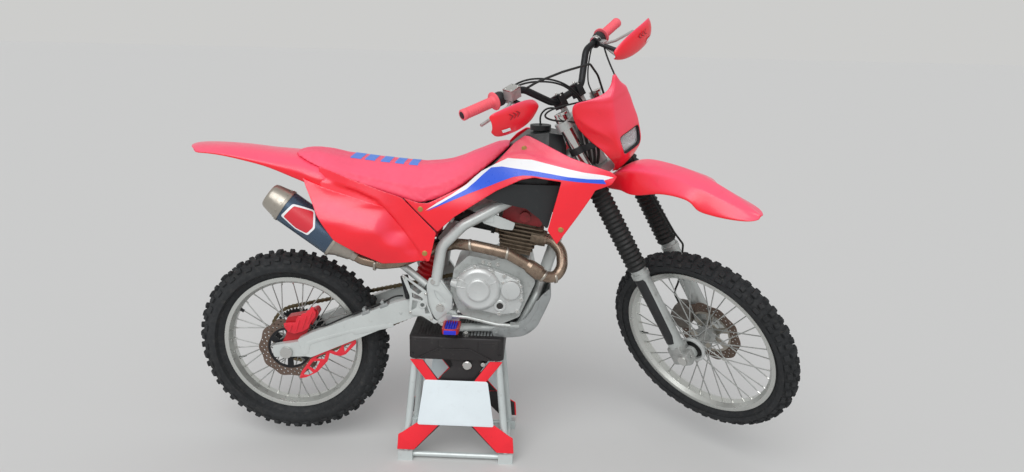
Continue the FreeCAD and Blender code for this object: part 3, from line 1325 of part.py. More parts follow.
def make_brake_hose():
    """Front brake hose from the master cylinder down the left fork leg to the caliper."""
    radius = 3.5
    start = Vector(951, -214, 1377)
    leg = size("fork_half_spacing")
    caliper = Vector(0, size("front_disc_offset") + 8, 0)
    points = [start, start + Vector(34, 16, 22), Vector(1016, -120, 1404), Vector(1010, 20, 1372),
              Vector(998, leg - 18, 1310)]
    for reach, side, height in BRAKE_HOSE_FORK:
        points.append(along_fork(reach, height) + Vector(0, leg + side, 0))
    points += [along_fork(-21, 160) + caliper, along_fork(-21, 120 + size("seat_gap")) + caliper]
    feature("brake_hose", tube(points, radius, 30), STEERED)


# Paddock stand

def make_stand():
    """Paddock stand with a skirted deck, four corner tubes, crossed side plates and feet."""
    centre = size("deck_centre_reach")
    top = size("deck_height")
    length = size("deck_half_length")
    width = size("deck_half_width")
    skirt = size("deck_skirt")
    wall = 4.0
    slab = Part.makeBox(2 * length, 2 * width, 12, Vector(centre - length, -width, top - 12))
    outer = Part.makeBox(2 * length, 2 * width, skirt, Vector(centre - length, -width, top - skirt))
    hollow = Part.makeBox(2 * (length - wall), 2 * (width - wall), skirt,
                          Vector(centre - length + wall, -width + wall, top - skirt - 12))
    feature("stand_deck", joined([slab, outer.cut(hollow)]), FLOOR)
    foot_length = size("foot_half_length")
    foot_width = size("foot_half_width")
    foot_high = size("foot_height")
    under_deck = top - 12 - size("seat_gap")
    legs = []
    for along in (-1, 1):
        for side in (-1, 1):
            upper = Vector(centre + along * (length - 26), side * (width - 24), under_deck + 6)
            lower = Vector(centre + along * (foot_length - 26), side * (foot_width - 20), foot_high)
            legs.append(rod(lower, upper, size("leg_tube_radius")))
            legs.append(boxed(lower - Vector(0, 0, foot_high / 2), 50, 38, foot_high))
    rails = []
    low = foot_high / 2
    for side in (-1, 1):
        rails.append(rod(Vector(centre - foot_length + 30, side * (foot_width - 20), low),
                         Vector(centre + foot_length - 30, side * (foot_width - 20), low), 9))
    for along in (-1, 1):
        rails.append(rod(Vector(centre + along * (foot_length - 26), -foot_width + 24, low),
                         Vector(centre + along * (foot_length - 26), foot_width - 24, low), 9))
    room = Part.makeBox(2 * length, 2 * width, top, Vector(centre - length, -width, under_deck))
    feature("stand_legs", joined(legs + rails).cut(room), FLOOR)
    make_stand_sides(centre, length - 26, width - 24, foot_length - 26, foot_width - 20)


def make_stand_sides(centre, top_length, top_width, low_length, low_width):
    """Crossed plates and the blank panel on each long side, outside the corner tubes."""
    low = size("foot_height") + 4
    high = size("deck_height") - size("deck_skirt") - 2
    leg_high = size("deck_height") - 12
    lean = (low_width - top_width) / (leg_high - size("foot_height"))
    out = size("leg_tube_radius") + size("seat_gap") + 1.0
    wall = 3.0

    def on_side(pairs, offset, thickness):
        wires = []
        for shift in (offset, offset + thickness):
            points = [Vector(centre + x, -(low_width - lean * (z - size("foot_height"))) - out - shift, z)
                      for x, z in pairs]
            wires.append(outline(points))
        return loft(wires)

    arm = 34.0
    reach_low = low_length + 10
    reach_high = top_length + 14
    middle = (low + high) / 2
    stroke = on_side([(-reach_low, low), (-reach_low + arm + 14, low), (reach_high, high - arm),
                      (reach_high, high), (reach_high - arm, high)], 0, wall)
    counter = on_side([(reach_low, low), (reach_low - arm - 14, low), (-reach_high, high - arm),
                       (-reach_high, high), (-reach_high + arm, high)], 0, wall)
    cross = joined([stroke, counter])
    feature("stand_braces", both_sides(cross), FLOOR)
    panel = on_side([(-118, middle - 92), (118, middle - 92), (96, middle + 78), (-96, middle + 78)],
                    wall + size("seat_gap"), 2.0)
    feature("stand_panels", both_sides(panel), FLOOR)


make_wheels()
make_frame()
make_subframe()
make_swingarm()
make_chain()
make_engine()
make_intake()
make_exhaust()
make_seat()
make_tank()
make_side_panels()
make_shrouds()
make_fenders()
make_skid_plate()
make_foot_controls()
make_rear_brake()
make_shock()
make_fork()
make_handlebar()
make_cowl()
make_front_brake()
make_brake_hose()
make_stand()

DOCUMENT.recompute()
for item in DOCUMENT.Objects:
    if "Invalid" in item.State or "Error" in item.State:
        raise RuntimeError("failed object: " + item.Label)
for item in NODES:
    if item.Shape.isNull() or not item.Shape.isValid() or not item.Shape.Solids:
        raise RuntimeError("bad shape: " + item.Label)
os.makedirs("parts", exist_ok=True)
for item in NODES:
    item.Shape.exportStep("parts/" + item.Label + ".step")
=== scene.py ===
import math

import bmesh
import bpy
from mathutils import Matrix, Vector
from mathutils.bvhtree import BVHTree


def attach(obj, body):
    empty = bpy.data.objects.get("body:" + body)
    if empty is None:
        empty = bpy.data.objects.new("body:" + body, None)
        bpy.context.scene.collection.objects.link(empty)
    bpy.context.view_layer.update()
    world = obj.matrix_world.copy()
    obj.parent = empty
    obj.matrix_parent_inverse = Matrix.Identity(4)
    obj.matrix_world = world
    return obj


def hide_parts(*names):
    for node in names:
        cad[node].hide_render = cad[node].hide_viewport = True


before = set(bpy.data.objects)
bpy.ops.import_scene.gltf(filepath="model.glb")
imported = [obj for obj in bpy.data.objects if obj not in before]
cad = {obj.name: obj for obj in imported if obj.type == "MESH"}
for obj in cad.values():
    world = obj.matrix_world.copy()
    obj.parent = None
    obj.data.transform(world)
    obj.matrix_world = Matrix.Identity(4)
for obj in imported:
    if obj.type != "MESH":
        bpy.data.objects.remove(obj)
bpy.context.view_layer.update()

# Studio
scene = bpy.context.scene
scene.view_settings.view_transform = "Standard"


def paint(red, green, blue):
    """A colour written as it is seen, 0 to 255, as Blender wants it."""
    linear = []
    for value in (red, green, blue):
        share = value / 255
        linear.append(share / 12.92 if share <= 0.04045 else ((share + 0.055) / 1.055) ** 2.4)
    return (*linear, 1.0)


def turned(degrees, axis):
    return Matrix.Rotation(math.radians(degrees), 4, axis)


def placed(name, data):
    """A new object in the scene."""
    made = bpy.data.objects.new(name, data)
    scene.collection.objects.link(made)
    return made


FRAME_WIDTH = 1024
FOCAL_LENGTH = 795.09
CAMERA_PLACE = (0.2643, -2.5788, 1.4998)
CAMERA_TURNS = ((1.98, "Z"), (-15.57, "X"), (-1.28, "Y"), (90, "X"))
FILL_LIGHT = ((0.97, 0.98, 1.0, 1), 0.6)
SEEN_SKY = ((0.61, 0.61, 0.6, 1), 1.0)
SUN_STRENGTH = 1.7
FLOOR_GREY = (0.62, 0.62, 0.61, 1)


def make_camera():
    lens = bpy.data.cameras.new("camera")
    lens.sensor_width = 36
    lens.lens = 36 * FOCAL_LENGTH / FRAME_WIDTH
    lens.clip_end = 100
    camera = placed("camera", lens)
    matrix = Matrix.Identity(4)
    for degrees, axis in CAMERA_TURNS:
        matrix = matrix @ turned(degrees, axis)
    camera.matrix_world = Matrix.Translation(CAMERA_PLACE) @ matrix
    scene.camera = camera


def make_sky():
    """A soft fill light, and a grey sky for the camera, mirrors and glass."""
    world = bpy.data.worlds.new("studio_sky")
    world.use_nodes = True
    scene.world = world
    tree = world.node_tree
    tree.nodes.clear()
    out = tree.nodes.new("ShaderNodeOutputWorld")
    mix = tree.nodes.new("ShaderNodeMixShader")
    for slot, (colour, strength) in ((1, FILL_LIGHT), (2, SEEN_SKY)):
        light = tree.nodes.new("ShaderNodeBackground")
        light.inputs["Color"].default_value = colour
        light.inputs["Strength"].default_value = strength
        tree.links.new(light.outputs[0], mix.inputs[slot])
    path = tree.nodes.new("ShaderNodeLightPath")
    shown = path.outputs["Is Camera Ray"]
    for kind in ("Is Glossy Ray", "Is Transmission Ray"):
        either = tree.nodes.new("ShaderNodeMath")
        either.operation = "MAXIMUM"
        tree.links.new(shown, either.inputs[0])
        tree.links.new(path.outputs[kind], either.inputs[1])
        shown = either.outputs[0]
    tree.links.new(shown, mix.inputs["Fac"])
    tree.links.new(mix.outputs[0], out.inputs["Surface"])


def make_sun():
    """A wide, soft sun from above and in front, as on an overcast day."""
    data = bpy.data.lights.new("soft_sun", "SUN")
    data.energy = SUN_STRENGTH
    data.angle = math.radians(50)
    lamp = placed("soft_sun", data)
    lamp.rotation_euler = Vector((0.16, 0.82, -0.82)).to_track_quat("-Z", "Y").to_euler()


def make_floor():
    mesh = bpy.data.meshes.new("floor")
    form = bmesh.new()
    bmesh.ops.create_grid(form, x_segments=2, y_segments=2, size=30)
    form.to_mesh(mesh)
    form.free()
    floor = placed("floor", mesh)
    material = bpy.data.materials.new("pale_floor")
    material.use_nodes = True
    skin = material.node_tree.nodes["Principled BSDF"]
    skin.inputs["Base Color"].default_value = FLOOR_GREY
    skin.inputs["Roughness"].default_value = 0.85
    skin.inputs["Specular IOR Level"].default_value = 0.2
    mesh.materials.append(material)


make_camera()
make_sky()
make_floor()
make_sun()


# Finishes
class Recipe:
    """Builds one finish: nodes are added in a row and joined by name."""

    def __init__(self, name):
        self.material = bpy.data.materials.new(name)
        self.material.use_nodes = True
        self.tree = self.material.node_tree
        self.skin = self.tree.nodes["Principled BSDF"]
        self.place = self.tree.nodes.new("ShaderNodeTexCoord").outputs["Object"]

    def node(self, kind, **settings):
        made = self.tree.nodes.new("ShaderNode" + kind)
        for key, value in settings.items():
            setattr(made, key, value)
        return made

    def join(self, source, target):
        self.tree.links.new(source, target)
        return self

    def noise(self, scale, detail, rough):
        made = self.node("TexNoise")
        made.inputs["Scale"].default_value = scale
        made.inputs["Detail"].default_value = detail
        made.inputs["Roughness"].default_value = rough
        self.join(self.place, made.inputs["Vector"])
        return made.outputs["Fac"]

    def ranged(self, source, low, high, to_low, to_high):
        made = self.node("MapRange")
        for slot, value in zip(("From Min", "From Max", "To Min", "To Max"), (low, high, to_low, to_high)):
            made.inputs[slot].default_value = value
        self.join(source, made.inputs["Value"])
        return made.outputs[0]

    def mixed(self, share, first, second):
        made = self.node("Mix", data_type="RGBA")
        for slot, value in (("Factor", share), ("A", first), ("B", second)):
            target = next(s for s in made.inputs if s.name == slot and s.enabled)
            if isinstance(value, (tuple, float, int)):
                target.default_value = value
            else:
                self.join(value, target)
        return next(s for s in made.outputs if s.enabled)

    def maths(self, kind, first, second):
        made = self.node("Math", operation=kind)
        for slot, value in ((0, first), (1, second)):
            if isinstance(value, (float, int)):
                made.inputs[slot].default_value = value
            else:
                self.join(value, made.inputs[slot])
        return made.outputs[0]

    def edges(self, radius):
        """1 on sharp edges, 0 on flat ground."""
        soft = self.node("Bevel", samples=4)
        soft.inputs["Radius"].default_value = radius
        ground = self.node("NewGeometry")
        dot = self.node("VectorMath", operation="DOT_PRODUCT")
        self.join(soft.outputs[0], dot.inputs[0]).join(ground.outputs["Normal"], dot.inputs[1])
        return self.ranged(dot.outputs["Value"], 0.995, 0.9, 0.0, 1.0)

    def bumped(self, height, strength, distance=0.001, radius=0.0):
        bump = self.node("Bump")
        bump.inputs["Strength"].default_value = strength
        bump.inputs["Distance"].default_value = distance
        self.join(height, bump.inputs["Height"])
        if radius:
            soft = self.node("Bevel", samples=4)
            soft.inputs["Radius"].default_value = radius
            self.join(soft.outputs[0], bump.inputs["Normal"])
        self.join(bump.outputs[0], self.skin.inputs["Normal"])
        return self

    def colour(self, source):
        return self.join(source, self.skin.inputs["Base Color"])

    def roughness(self, source):
        return self.join(source, self.skin.inputs["Roughness"])


def shade(colour, factor):
    return (*(min(1.0, c * factor) for c in colour[:3]), 1.0)


def surface(name, colour, rough, metal=0.0, spread=0.1, patch=9.0, grain=900.0, bump=0.12, dirt=None,
            dirty=0.0, wear=None, worn=0.0, coat=0.0, soft=0.0008, painted_top_sheen=None, range_low=0.1):
    """A finish with cloudy colour, uneven gloss, fine grain, dirt, worn edges and a painted sheen that pales
    upward-facing tops.
    """
    colour, dirt, wear, painted_top_sheen = (tone and paint(*tone) for tone in (colour, dirt, wear, painted_top_sheen))
    recipe = Recipe(name)
    skin = recipe.skin
    skin.inputs["Metallic"].default_value = metal
    skin.inputs["Coat Weight"].default_value = coat
    skin.inputs["Coat Roughness"].default_value = 0.16
    cloud = recipe.noise(patch, 5.0, 0.6)

    def clouded(tone):
        share = recipe.ranged(cloud, 0.3, 0.7, 0.0, 1.0)
        return recipe.mixed(share, shade(tone, 1 - spread), shade(tone, 1 + spread))

    shaded = clouded(colour)
    # Painted sheen: surfaces facing up blend into a paler tone, as if lit from above.
    if painted_top_sheen:
        ground = recipe.node("NewGeometry")
        lift = recipe.node("SeparateXYZ")
        recipe.join(ground.outputs["Normal"], lift.inputs[0])
        painted_sheen_tone = clouded(painted_top_sheen)
        upward = recipe.ranged(lift.outputs["Z"], range_low, 0.65 + range_low, 0.0, 1.0)
        shaded = recipe.mixed(upward, shaded, painted_sheen_tone)
    if dirt:
        patches = recipe.noise(patch * 5, 8.0, 0.7)
        mask = recipe.ranged(patches, 0.62 - dirty * 0.3, 0.86 - dirty * 0.3, 0.0, min(1.0, dirty + 0.2))
        shaded = recipe.mixed(mask, shaded, dirt)
    if wear:
        rim = recipe.edges(0.0012)
        chips = recipe.ranged(recipe.noise(140, 6.0, 0.7), 0.42, 0.6, 0.0, worn)
        shaded = recipe.mixed(recipe.maths("MULTIPLY", rim, chips), shaded, wear)
    recipe.colour(shaded)
    fine = recipe.noise(grain, 3.0, 0.6)
    gloss = recipe.noise(patch * 7, 6.0, 0.65)
    recipe.roughness(recipe.ranged(gloss, 0.3, 0.7, rough * 0.8, min(1.0, rough * 1.25)))
    recipe.bumped(fine, bump, 0.0004, soft)
    return recipe


def clear_lens(name):
    """Clear plastic with upright flutes, a little hazy."""
    recipe = Recipe(name)
    skin = recipe.skin
    skin.inputs["Base Color"].default_value = paint(240, 242, 244)
    skin.inputs["Transmission Weight"].default_value = 0.72
    skin.inputs["IOR"].default_value = 1.45
    haze = recipe.noise(60, 5.0, 0.6)
    recipe.roughness(recipe.ranged(haze, 0.3, 0.7, 0.08, 0.22))
    flutes = recipe.node("TexWave", wave_type="BANDS", bands_direction="Y")
    flutes.inputs["Scale"].default_value = 45
    flutes.inputs["Distortion"].default_value = 0.2
    recipe.join(recipe.place, flutes.inputs["Vector"])
    recipe.bumped(flutes.outputs["Fac"], 0.25, 0.001)
    return recipe


RED = (244, 22, 42)
finishes = {
    "tyre": surface("tyre_rubber", (34, 36, 38), 0.82, spread=0.2, grain=500, bump=0.4, dirt=(96, 92, 84),
                    dirty=0.2),
    "rim_alloy": surface("rim_polished", (205, 207, 203), 0.3, 0.85, 0.04, grain=300, bump=0.05,
                         dirt=(120, 116, 108), dirty=0.1),
    "hub_alloy": surface("hub_cast", (176, 178, 176), 0.42, 0.75, 0.08, dirt=(70, 66, 60), dirty=0.3,
                         bump=0.25),
    "disc_steel": surface("disc_ground", (104, 88, 78), 0.66, 0.3, 0.12, dirt=(90, 70, 52), dirty=0.25),
    "frame_paint": surface("frame_silver", (200, 205, 203), 0.4, 0.3, 0.05, dirt=(110, 106, 98), dirty=0.12,
                           wear=(120, 118, 112), worn=0.6, coat=0.2),
    "dark_steel": surface("steel_blackened", (44, 45, 47), 0.45, 0.7, 0.12, wear=(140, 138, 132), worn=0.8,
                          dirt=(96, 82, 66), dirty=0.15),
    "bright_steel": surface("steel_plated", (208, 208, 205), 0.16, 1.0, 0.03, bump=0.03,
                            dirt=(130, 120, 108), dirty=0.1),
    "case_alloy": surface("case_painted", (184, 188, 186), 0.38, 0.55, 0.07, grain=700, bump=0.3,
                          dirt=(96, 90, 80), dirty=0.3),
    "fin_alloy": surface("fins_dull", (126, 112, 96), 0.55, 0.6, 0.2, patch=14, bump=0.35, dirt=(60, 50, 42),
                         dirty=0.5),
    "header_cover_paint": surface("cover_oxide", (150, 42, 46), 0.42, 0.15, 0.18, bump=0.25,
                                  dirt=(60, 40, 34), dirty=0.4, wear=(170, 130, 110), worn=0.8),
    "header_steel": surface("pipe_heated", (150, 132, 116), 0.28, 0.85, 0.2, patch=6, dirt=(70, 50, 40),
                            dirty=0.4),
    "can_alloy": surface("can_anodised", (74, 92, 112), 0.28, 0.6, 0.12, dirt=(50, 56, 66), dirty=0.2),
    "black_plastic": surface("plastic_black", (30, 31, 33), 0.5, spread=0.12, bump=0.3, dirt=(88, 86, 80),
                             dirty=0.12),
    # The paler pink given for upward-facing surfaces is painted sheen, standing in for the light on the
    # tops.
    "red_plastic": surface("plastic_red", RED, 0.34, spread=0.04, grain=400, bump=0.04, coat=0.35,
                           dirt=(190, 30, 44), dirty=0.1, soft=0.003, painted_top_sheen=(250, 84, 116)),
    # The cowl's painted sheen reaches down over its forward face, which is painted paler as if lit from the
    # front.
    "cowl_painted_sheen": surface("plastic_red_painted_sheen", RED, 0.34, spread=0.04, grain=400, bump=0.04, coat=0.35,
                          dirt=(190, 30, 44), dirty=0.1, soft=0.003, painted_top_sheen=(250, 78, 108), range_low=-0.3),
    "red_alloy": surface("red_anodised", (186, 40, 48), 0.34, 0.4, 0.1, wear=(200, 150, 150), worn=0.8),
    # The paler pink on the seat's upward-facing top is painted sheen.
    "seat_cover": surface("seat_vinyl", (246, 62, 92), 0.55, spread=0.05, grain=1200, bump=0.4,
                          painted_top_sheen=(250, 92, 122)),
    "tank_plastic": surface("tank_black", (30, 33, 35), 0.4, spread=0.1, bump=0.2, dirt=(86, 86, 82),
                            dirty=0.12),
    "grip_rubber": surface("grip_red", (244, 104, 116), 0.6, spread=0.08, grain=900, bump=0.4),
    "black_rubber": surface("rubber_black", (22, 24, 24), 0.62, spread=0.15, bump=0.35, dirt=(90, 88, 82),
                            dirty=0.12),
    "lens": surface("lens_bright", (226, 230, 232), 0.1, 0.3, 0.03),
    "spring_paint": surface("spring_painted", (196, 34, 40), 0.35, spread=0.08),
    "skid_grey": surface("plate_grey", (156, 160, 160), 0.44, 0.45, 0.08, dirt=(84, 80, 74), dirty=0.3,
                         wear=(176, 176, 172), worn=0.9),
    "deck_plastic": surface("deck_black", (34, 31, 32), 0.5, spread=0.12, grain=500, bump=0.5,
                            dirt=(110, 104, 98), dirty=0.15),
    "stand_silver": surface("stand_tube", (206, 214, 213), 0.38, 0.35, 0.05, dirt=(120, 116, 108),
                            dirty=0.15),
    "stand_red": surface("stand_red", (240, 34, 50), 0.38, spread=0.06, wear=(120, 40, 40), worn=0.6,
                         dirt=(120, 40, 40), dirty=0.12),
    "stripe_white": surface("stripe_white", (240, 242, 244), 0.3, spread=0.02, bump=0.03, coat=0.3),
    "stripe_blue": surface("stripe_blue", (38, 92, 226), 0.3, spread=0.04, bump=0.03, coat=0.3),
    "seat_blue": surface("seat_print_blue", (92, 138, 226), 0.6, spread=0.06, grain=1200, bump=0.5),
    "mark_dark_red": surface("moulded_mark", (150, 22, 36), 0.5, spread=0.1, bump=0.2),
    "shield_red": surface("shield_red", (214, 40, 56), 0.35, spread=0.05, bump=0.05, coat=0.3),
    "steel_brushed": surface("steel_brushed", (176, 170, 160), 0.34, 0.85, 0.08, grain=600, bump=0.12,
                             dirt=(110, 92, 74), dirty=0.25),
    "soot": surface("soot", (16, 15, 15), 0.9, spread=0.3, bump=0.4),
    "brass": surface("screw_brass", (186, 150, 92), 0.35, 0.85, 0.1, dirt=(80, 60, 40), dirty=0.3),
    "chain_gold": surface("chain_plates", (120, 108, 84), 0.35, 0.85, 0.15, dirt=(40, 36, 30), dirty=0.4),
    "blue_alloy": surface("peg_blue", (44, 52, 206), 0.4, 0.3, 0.1, wear=(150, 156, 210), worn=0.8),
    "guard_red": surface("guard_red", (224, 42, 58), 0.36, 0.1, 0.06, wear=(240, 150, 150), worn=0.5,
                         dirt=(120, 50, 50), dirty=0.12),
    "reflector": surface("reflector", (250, 250, 248), 0.2, 0.3, 0.02, bump=0.02),
    "lens_clear": clear_lens("lens_clear"),
    "cover_alloy": surface("cover_painted", (200, 203, 202), 0.34, 0.4, 0.05, grain=700, bump=0.2,
                           dirt=(120, 112, 100), dirty=0.2, wear=(226, 226, 224), worn=0.5),
    "caliper_grey": surface("caliper_cast", (112, 106, 100), 0.45, 0.5, 0.15, dirt=(60, 52, 46), dirty=0.4,
                            wear=(176, 172, 164), worn=0.8),
    "oil_glass": surface("oil_glass", (26, 24, 22), 0.12, 0.1, 0.2, bump=0.03, coat=0.6),
    "white_panel": surface("panel_white", (226, 236, 240), 0.4, spread=0.03, dirt=(190, 194, 196),
                           dirty=0.12),
}
for node in cad.values():
    slot = node.data.materials[0].name
    node.data.materials[0] = finishes[slot].material

# Shaping helpers
AXLE_REACH = 582
REAR_AXLE = (0, 0, 374)
FRONT_AXLE = (1426, 0, 453)
BOTH = (-1, 1)
LEFT = (0, 1, 0)
RIGHT = (0, -1, 0)
MILLI = Matrix.Scale(0.001, 4)
SHELL_WALL = 0.004
STEER_BASE = Vector((0.79502, 0, 0.42585))
STEER_AXIS = Vector((-0.48481, 0, 0.87462))
STEER = Matrix.Translation(STEER_BASE) @ turned(-45, STEER_AXIS) @ Matrix.Translation(-STEER_BASE)
FORK_BODY = "steering"
FORK_SIDE = 90
# The fork's lean: how far its middle line goes back and up in each millimetre
RAKE_BACK, RAKE_UP = 0.485, 0.875


def at(reach, side, height):
    """A place given in millimetres: ahead of the rear axle, to the left, above the floor."""
    return Vector(((reach - AXLE_REACH) / 1000, side / 1000, height / 1000))


def moved(form, matrix):
    bmesh.ops.transform(form, matrix=matrix, verts=form.verts[:])
    return form


def piece(name, form, finish, body="chassis", hides="", angle=40, slot=None):
    """Closes a form into a named piece with its finish, and lets it ride."""
    if body in (FORK_BODY, "front_wheel"):
        moved(form, STEER)
    mesh = bpy.data.meshes.new(name)
    form.to_mesh(mesh)
    form.free()
    mesh.materials.append(finishes[finish].material)
    mesh.shade_smooth()
    mesh.set_sharp_from_angle(angle=math.radians(angle))
    made = placed(name, mesh)
    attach(made, body)
    if hides:
        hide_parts(hides)
    return made


def thicken(made, wall, edge=0.001):
    """Gives an open sheet its wall, inwards, with a rounded rim."""
    solid = made.modifiers.new("wall", "SOLIDIFY")
    solid.thickness = wall
    solid.offset = -1
    if edge:
        rim = made.modifiers.new("rim", "BEVEL")
        rim.width = edge
        rim.segments = 2
        rim.limit_method = "ANGLE"
        rim.angle_limit = math.radians(50)
    return made


def subdivide(made, levels):
    smooth = made.modifiers.new("smooth", "SUBSURF")
    smooth.levels = levels
    smooth.render_levels = levels
    return made


def smooth_shell(made, wall=SHELL_WALL, levels=2):
    """Gives an open sheet its wall and rounds it off."""
    return subdivide(thicken(made, wall, 0), levels)


def eased(knots, values, place):
    """The value of a smooth line through values at rising knots."""
    place = min(max(place, knots[0]), knots[-1])
    last = len(knots) - 1
    step = next((i for i in range(last) if place <= knots[i + 1]), last - 1)

    def slope(i):
        low, high = max(i - 1, 0), min(i + 1, last)
        return (values[high] - values[low]) / (knots[high] - knots[low])

    span = knots[step + 1] - knots[step]
    t = (place - knots[step]) / span
    return (
        values[step] * (2 * t**3 - 3 * t**2 + 1)
        + span * slope(step) * (t**3 - 2 * t**2 + t)
        + values[step + 1] * (3 * t**2 - 2 * t**3)
        + span * slope(step + 1) * (t**3 - t**2)
    )


def swell(rows):
    """Distance from the middle plane at a reach and a height, smooth through rows of (reach, pairs)."""
    def depth(reach, height):
        outs = []
        for _, pairs in rows:
            rising = sorted(pairs, key=lambda pair: pair[1])
            outs.append(eased([pair[1] for pair in rising], [pair[0] for pair in rising], height))
        return eased([row[0] for row in rows], outs, reach)

    return depth


def step_up(distance, width):
    """0 below -width, 1 above +width, smooth between."""
    t = min(max((distance + width) / (2 * width), 0), 1)
    return t * t * (3 - 2 * t)


def beside(reach, height, line):
    """Signed distance from a bent line: positive above it."""
    best = None
    for (x0, z0), (x1, z1) in zip(line, line[1:]):
        run = Vector((x1 - x0, z1 - z0))
        t = min(max(Vector((reach - x0, height - z0)).dot(run) / run.length_squared, 0), 1)
        foot = Vector((x0 + t * run.x, z0 + t * run.y))
        gap = Vector((reach, height)) - foot
        side = run.x * (height - z0) - run.y * (reach - x0)
        if best is None or gap.length < abs(best):
            best = math.copysign(gap.length, side)
    return best


def cut_flat(corners, cell, rounding):
    """A flat sheet cut to an outline of (reach, height) and crossed by cuts a cell apart."""
    form = bmesh.new()
    form.faces.new([form.verts.new((reach, 0, height)) for reach, height in corners])
    if rounding:
        bmesh.ops.bevel(form, geom=form.verts[:], affect="VERTICES", offset=rounding, segments=3,
                        profile=0.5, material=-1, clamp_overlap=True)
    reaches = [v.co.x for v in form.verts]
    heights = [v.co.z for v in form.verts]
    cuts = [((x, 0, 0), (1, 0, 0)) for x in steps(min(reaches), max(reaches), cell)]
    cuts += [((0, 0, z), (0, 0, 1)) for z in steps(min(heights), max(heights), cell)]
    for place, facing in cuts:
        everything = form.verts[:] + form.edges[:] + form.faces[:]
        bmesh.ops.bisect_plane(form, geom=everything, dist=0.01, plane_co=place, plane_no=facing)
    bmesh.ops.remove_doubles(form, verts=form.verts[:], dist=0.05)
    return form


def cut_sheet(corners, depth, cell, rounding=4, lift=0.0):
    """A pair of sheets cut to an outline and bent so that each lies depth away from the middle plane."""
    form = cut_flat(corners, cell, rounding)
    for v in form.verts:
        v.co.y = -(depth(v.co.x, v.co.z) + lift)
        v.co = at(*v.co)
    bmesh.ops.mirror(form, geom=form.verts[:] + form.edges[:] + form.faces[:], matrix=Matrix.Identity(4),
                     merge_dist=-1, axis="Y")
    form.normal_update()
    wrong = [f for f in form.faces if f.normal.y * f.calc_center_median().y < 0]
    bmesh.ops.reverse_faces(form, faces=wrong)
    return form


def steps(low, high, cell):
    count = max(2, round((high - low) / cell))
    return [low + (high - low) * i / count for i in range(1, count)]


def bridged(rows, closed=False):
    """A sheet through rows of points, each row as long as the next."""
    form = bmesh.new()
    rings = []
    for row in rows:
        verts = [form.verts.new(point) for point in row]
        pairs = list(zip(verts, verts[1:] + verts[:1] if closed else verts[1:]))
        rings.append([form.edges.new(pair) for pair in pairs])
    for first, second in zip(rings, rings[1:]):
        bmesh.ops.bridge_loops(form, edges=first + second)
    return form


def outward(form, centre):
    """Turns the faces of an open sheet away from a place."""
    form.normal_update()
    wrong = [f for f in form.faces if f.normal.dot(f.calc_center_median() - centre) < 0]
    bmesh.ops.reverse_faces(form, faces=wrong)
    return form


def capped(form):
    """Closes the open ends of a form."""
    bmesh.ops.holes_fill(form, edges=[e for e in form.edges if e.is_boundary])
    bmesh.ops.recalc_face_normals(form, faces=form.faces[:])
    return form


def soften(form, edges, offset, segments, block=()):
    """Rounds edges off, and gives back the points of the block that they belong to."""
    made = bmesh.ops.bevel(form, geom=edges, affect="EDGES", offset=offset, segments=segments, profile=0.5,
                           material=-1)
    points = [v for f in made["faces"] for v in f.verts] + [v for v in block if v.is_valid]
    return list(dict.fromkeys(points))


def axis_frame(start, direction):
    return Matrix.Translation(start) @ Vector(direction).to_track_quat("Z", "Y").to_matrix().to_4x4()


def add_turned(form, profile, start, direction, count=32):
    """Adds a shape turned about a line from (along, radius) pairs in millimetres, closed from end to end."""
    old = set(form.verts)
    points = [(radius / 1000, 0, along / 1000) for along, radius in profile]
    verts = [form.verts.new(point) for point in points]
    ring = list(zip(verts, verts[1:]))
    if profile[0][1] > 0 and profile[-1][1] > 0:
        ring.append((verts[-1], verts[0]))
    edges = [form.edges.new(pair) for pair in ring]
    bmesh.ops.spin(form, geom=verts + edges, cent=(0, 0, 0), axis=(0, 0, 1), angle=math.tau, steps=count,
                   use_merge=True)
    new = [v for v in form.verts if v not in old]
    bmesh.ops.remove_doubles(form, verts=new, dist=1e-6)
    new = [v for v in form.verts if v not in old]
    faces = list(dict.fromkeys(f for v in new for f in v.link_faces))
    bmesh.ops.recalc_face_normals(form, faces=faces)
    bmesh.ops.transform(form, matrix=axis_frame(start, direction), verts=new)
    return new


def add_rod(form, start, end, radius, count=16, second=None):
    run = Vector(end) - Vector(start)
    matrix = axis_frame((Vector(start) + Vector(end)) / 2, run)
    bmesh.ops.create_cone(form, cap_ends=True, segments=count, radius1=radius / 1000,
                          radius2=(second or radius) / 1000, depth=run.length, matrix=matrix)


def add_block(form, centre, length, width, height, turn=None, edge=1.5):
    """Adds a box in millimetres with rounded edges, turned about its centre."""
    new = bmesh.ops.create_cube(form, size=1)["verts"]
    bmesh.ops.scale(form, vec=(length / 1000, width / 1000, height / 1000), verts=new)
    if edge:
        new = soften(form, list(dict.fromkeys(e for v in new for e in v.link_edges)), edge / 1000, 2, new)
    bmesh.ops.transform(form, matrix=Matrix.Translation(centre) @ (turn or Matrix.Identity(4)), verts=new)
    return new


def add_rib(form, low, high, out, extra=0):
    """Adds a small bar from one (reach, height) to another, in the plane at this side."""
    slope = math.atan2(high[1] - low[1], high[0] - low[0])
    middle = at((low[0] + high[0]) / 2, out, (low[1] + high[1]) / 2)
    add_block(form, middle, math.dist(low, high) + extra, 5, 5, Matrix.Rotation(-slope, 4, "Y"), 1.5)


def turned_piece(name, finish, profile, start, direction, count, body="chassis", **looks):
    """A piece that is one turned shape."""
    form = bmesh.new()
    add_turned(form, profile, start, direction, count)
    return piece(name, form, finish, body, **looks)


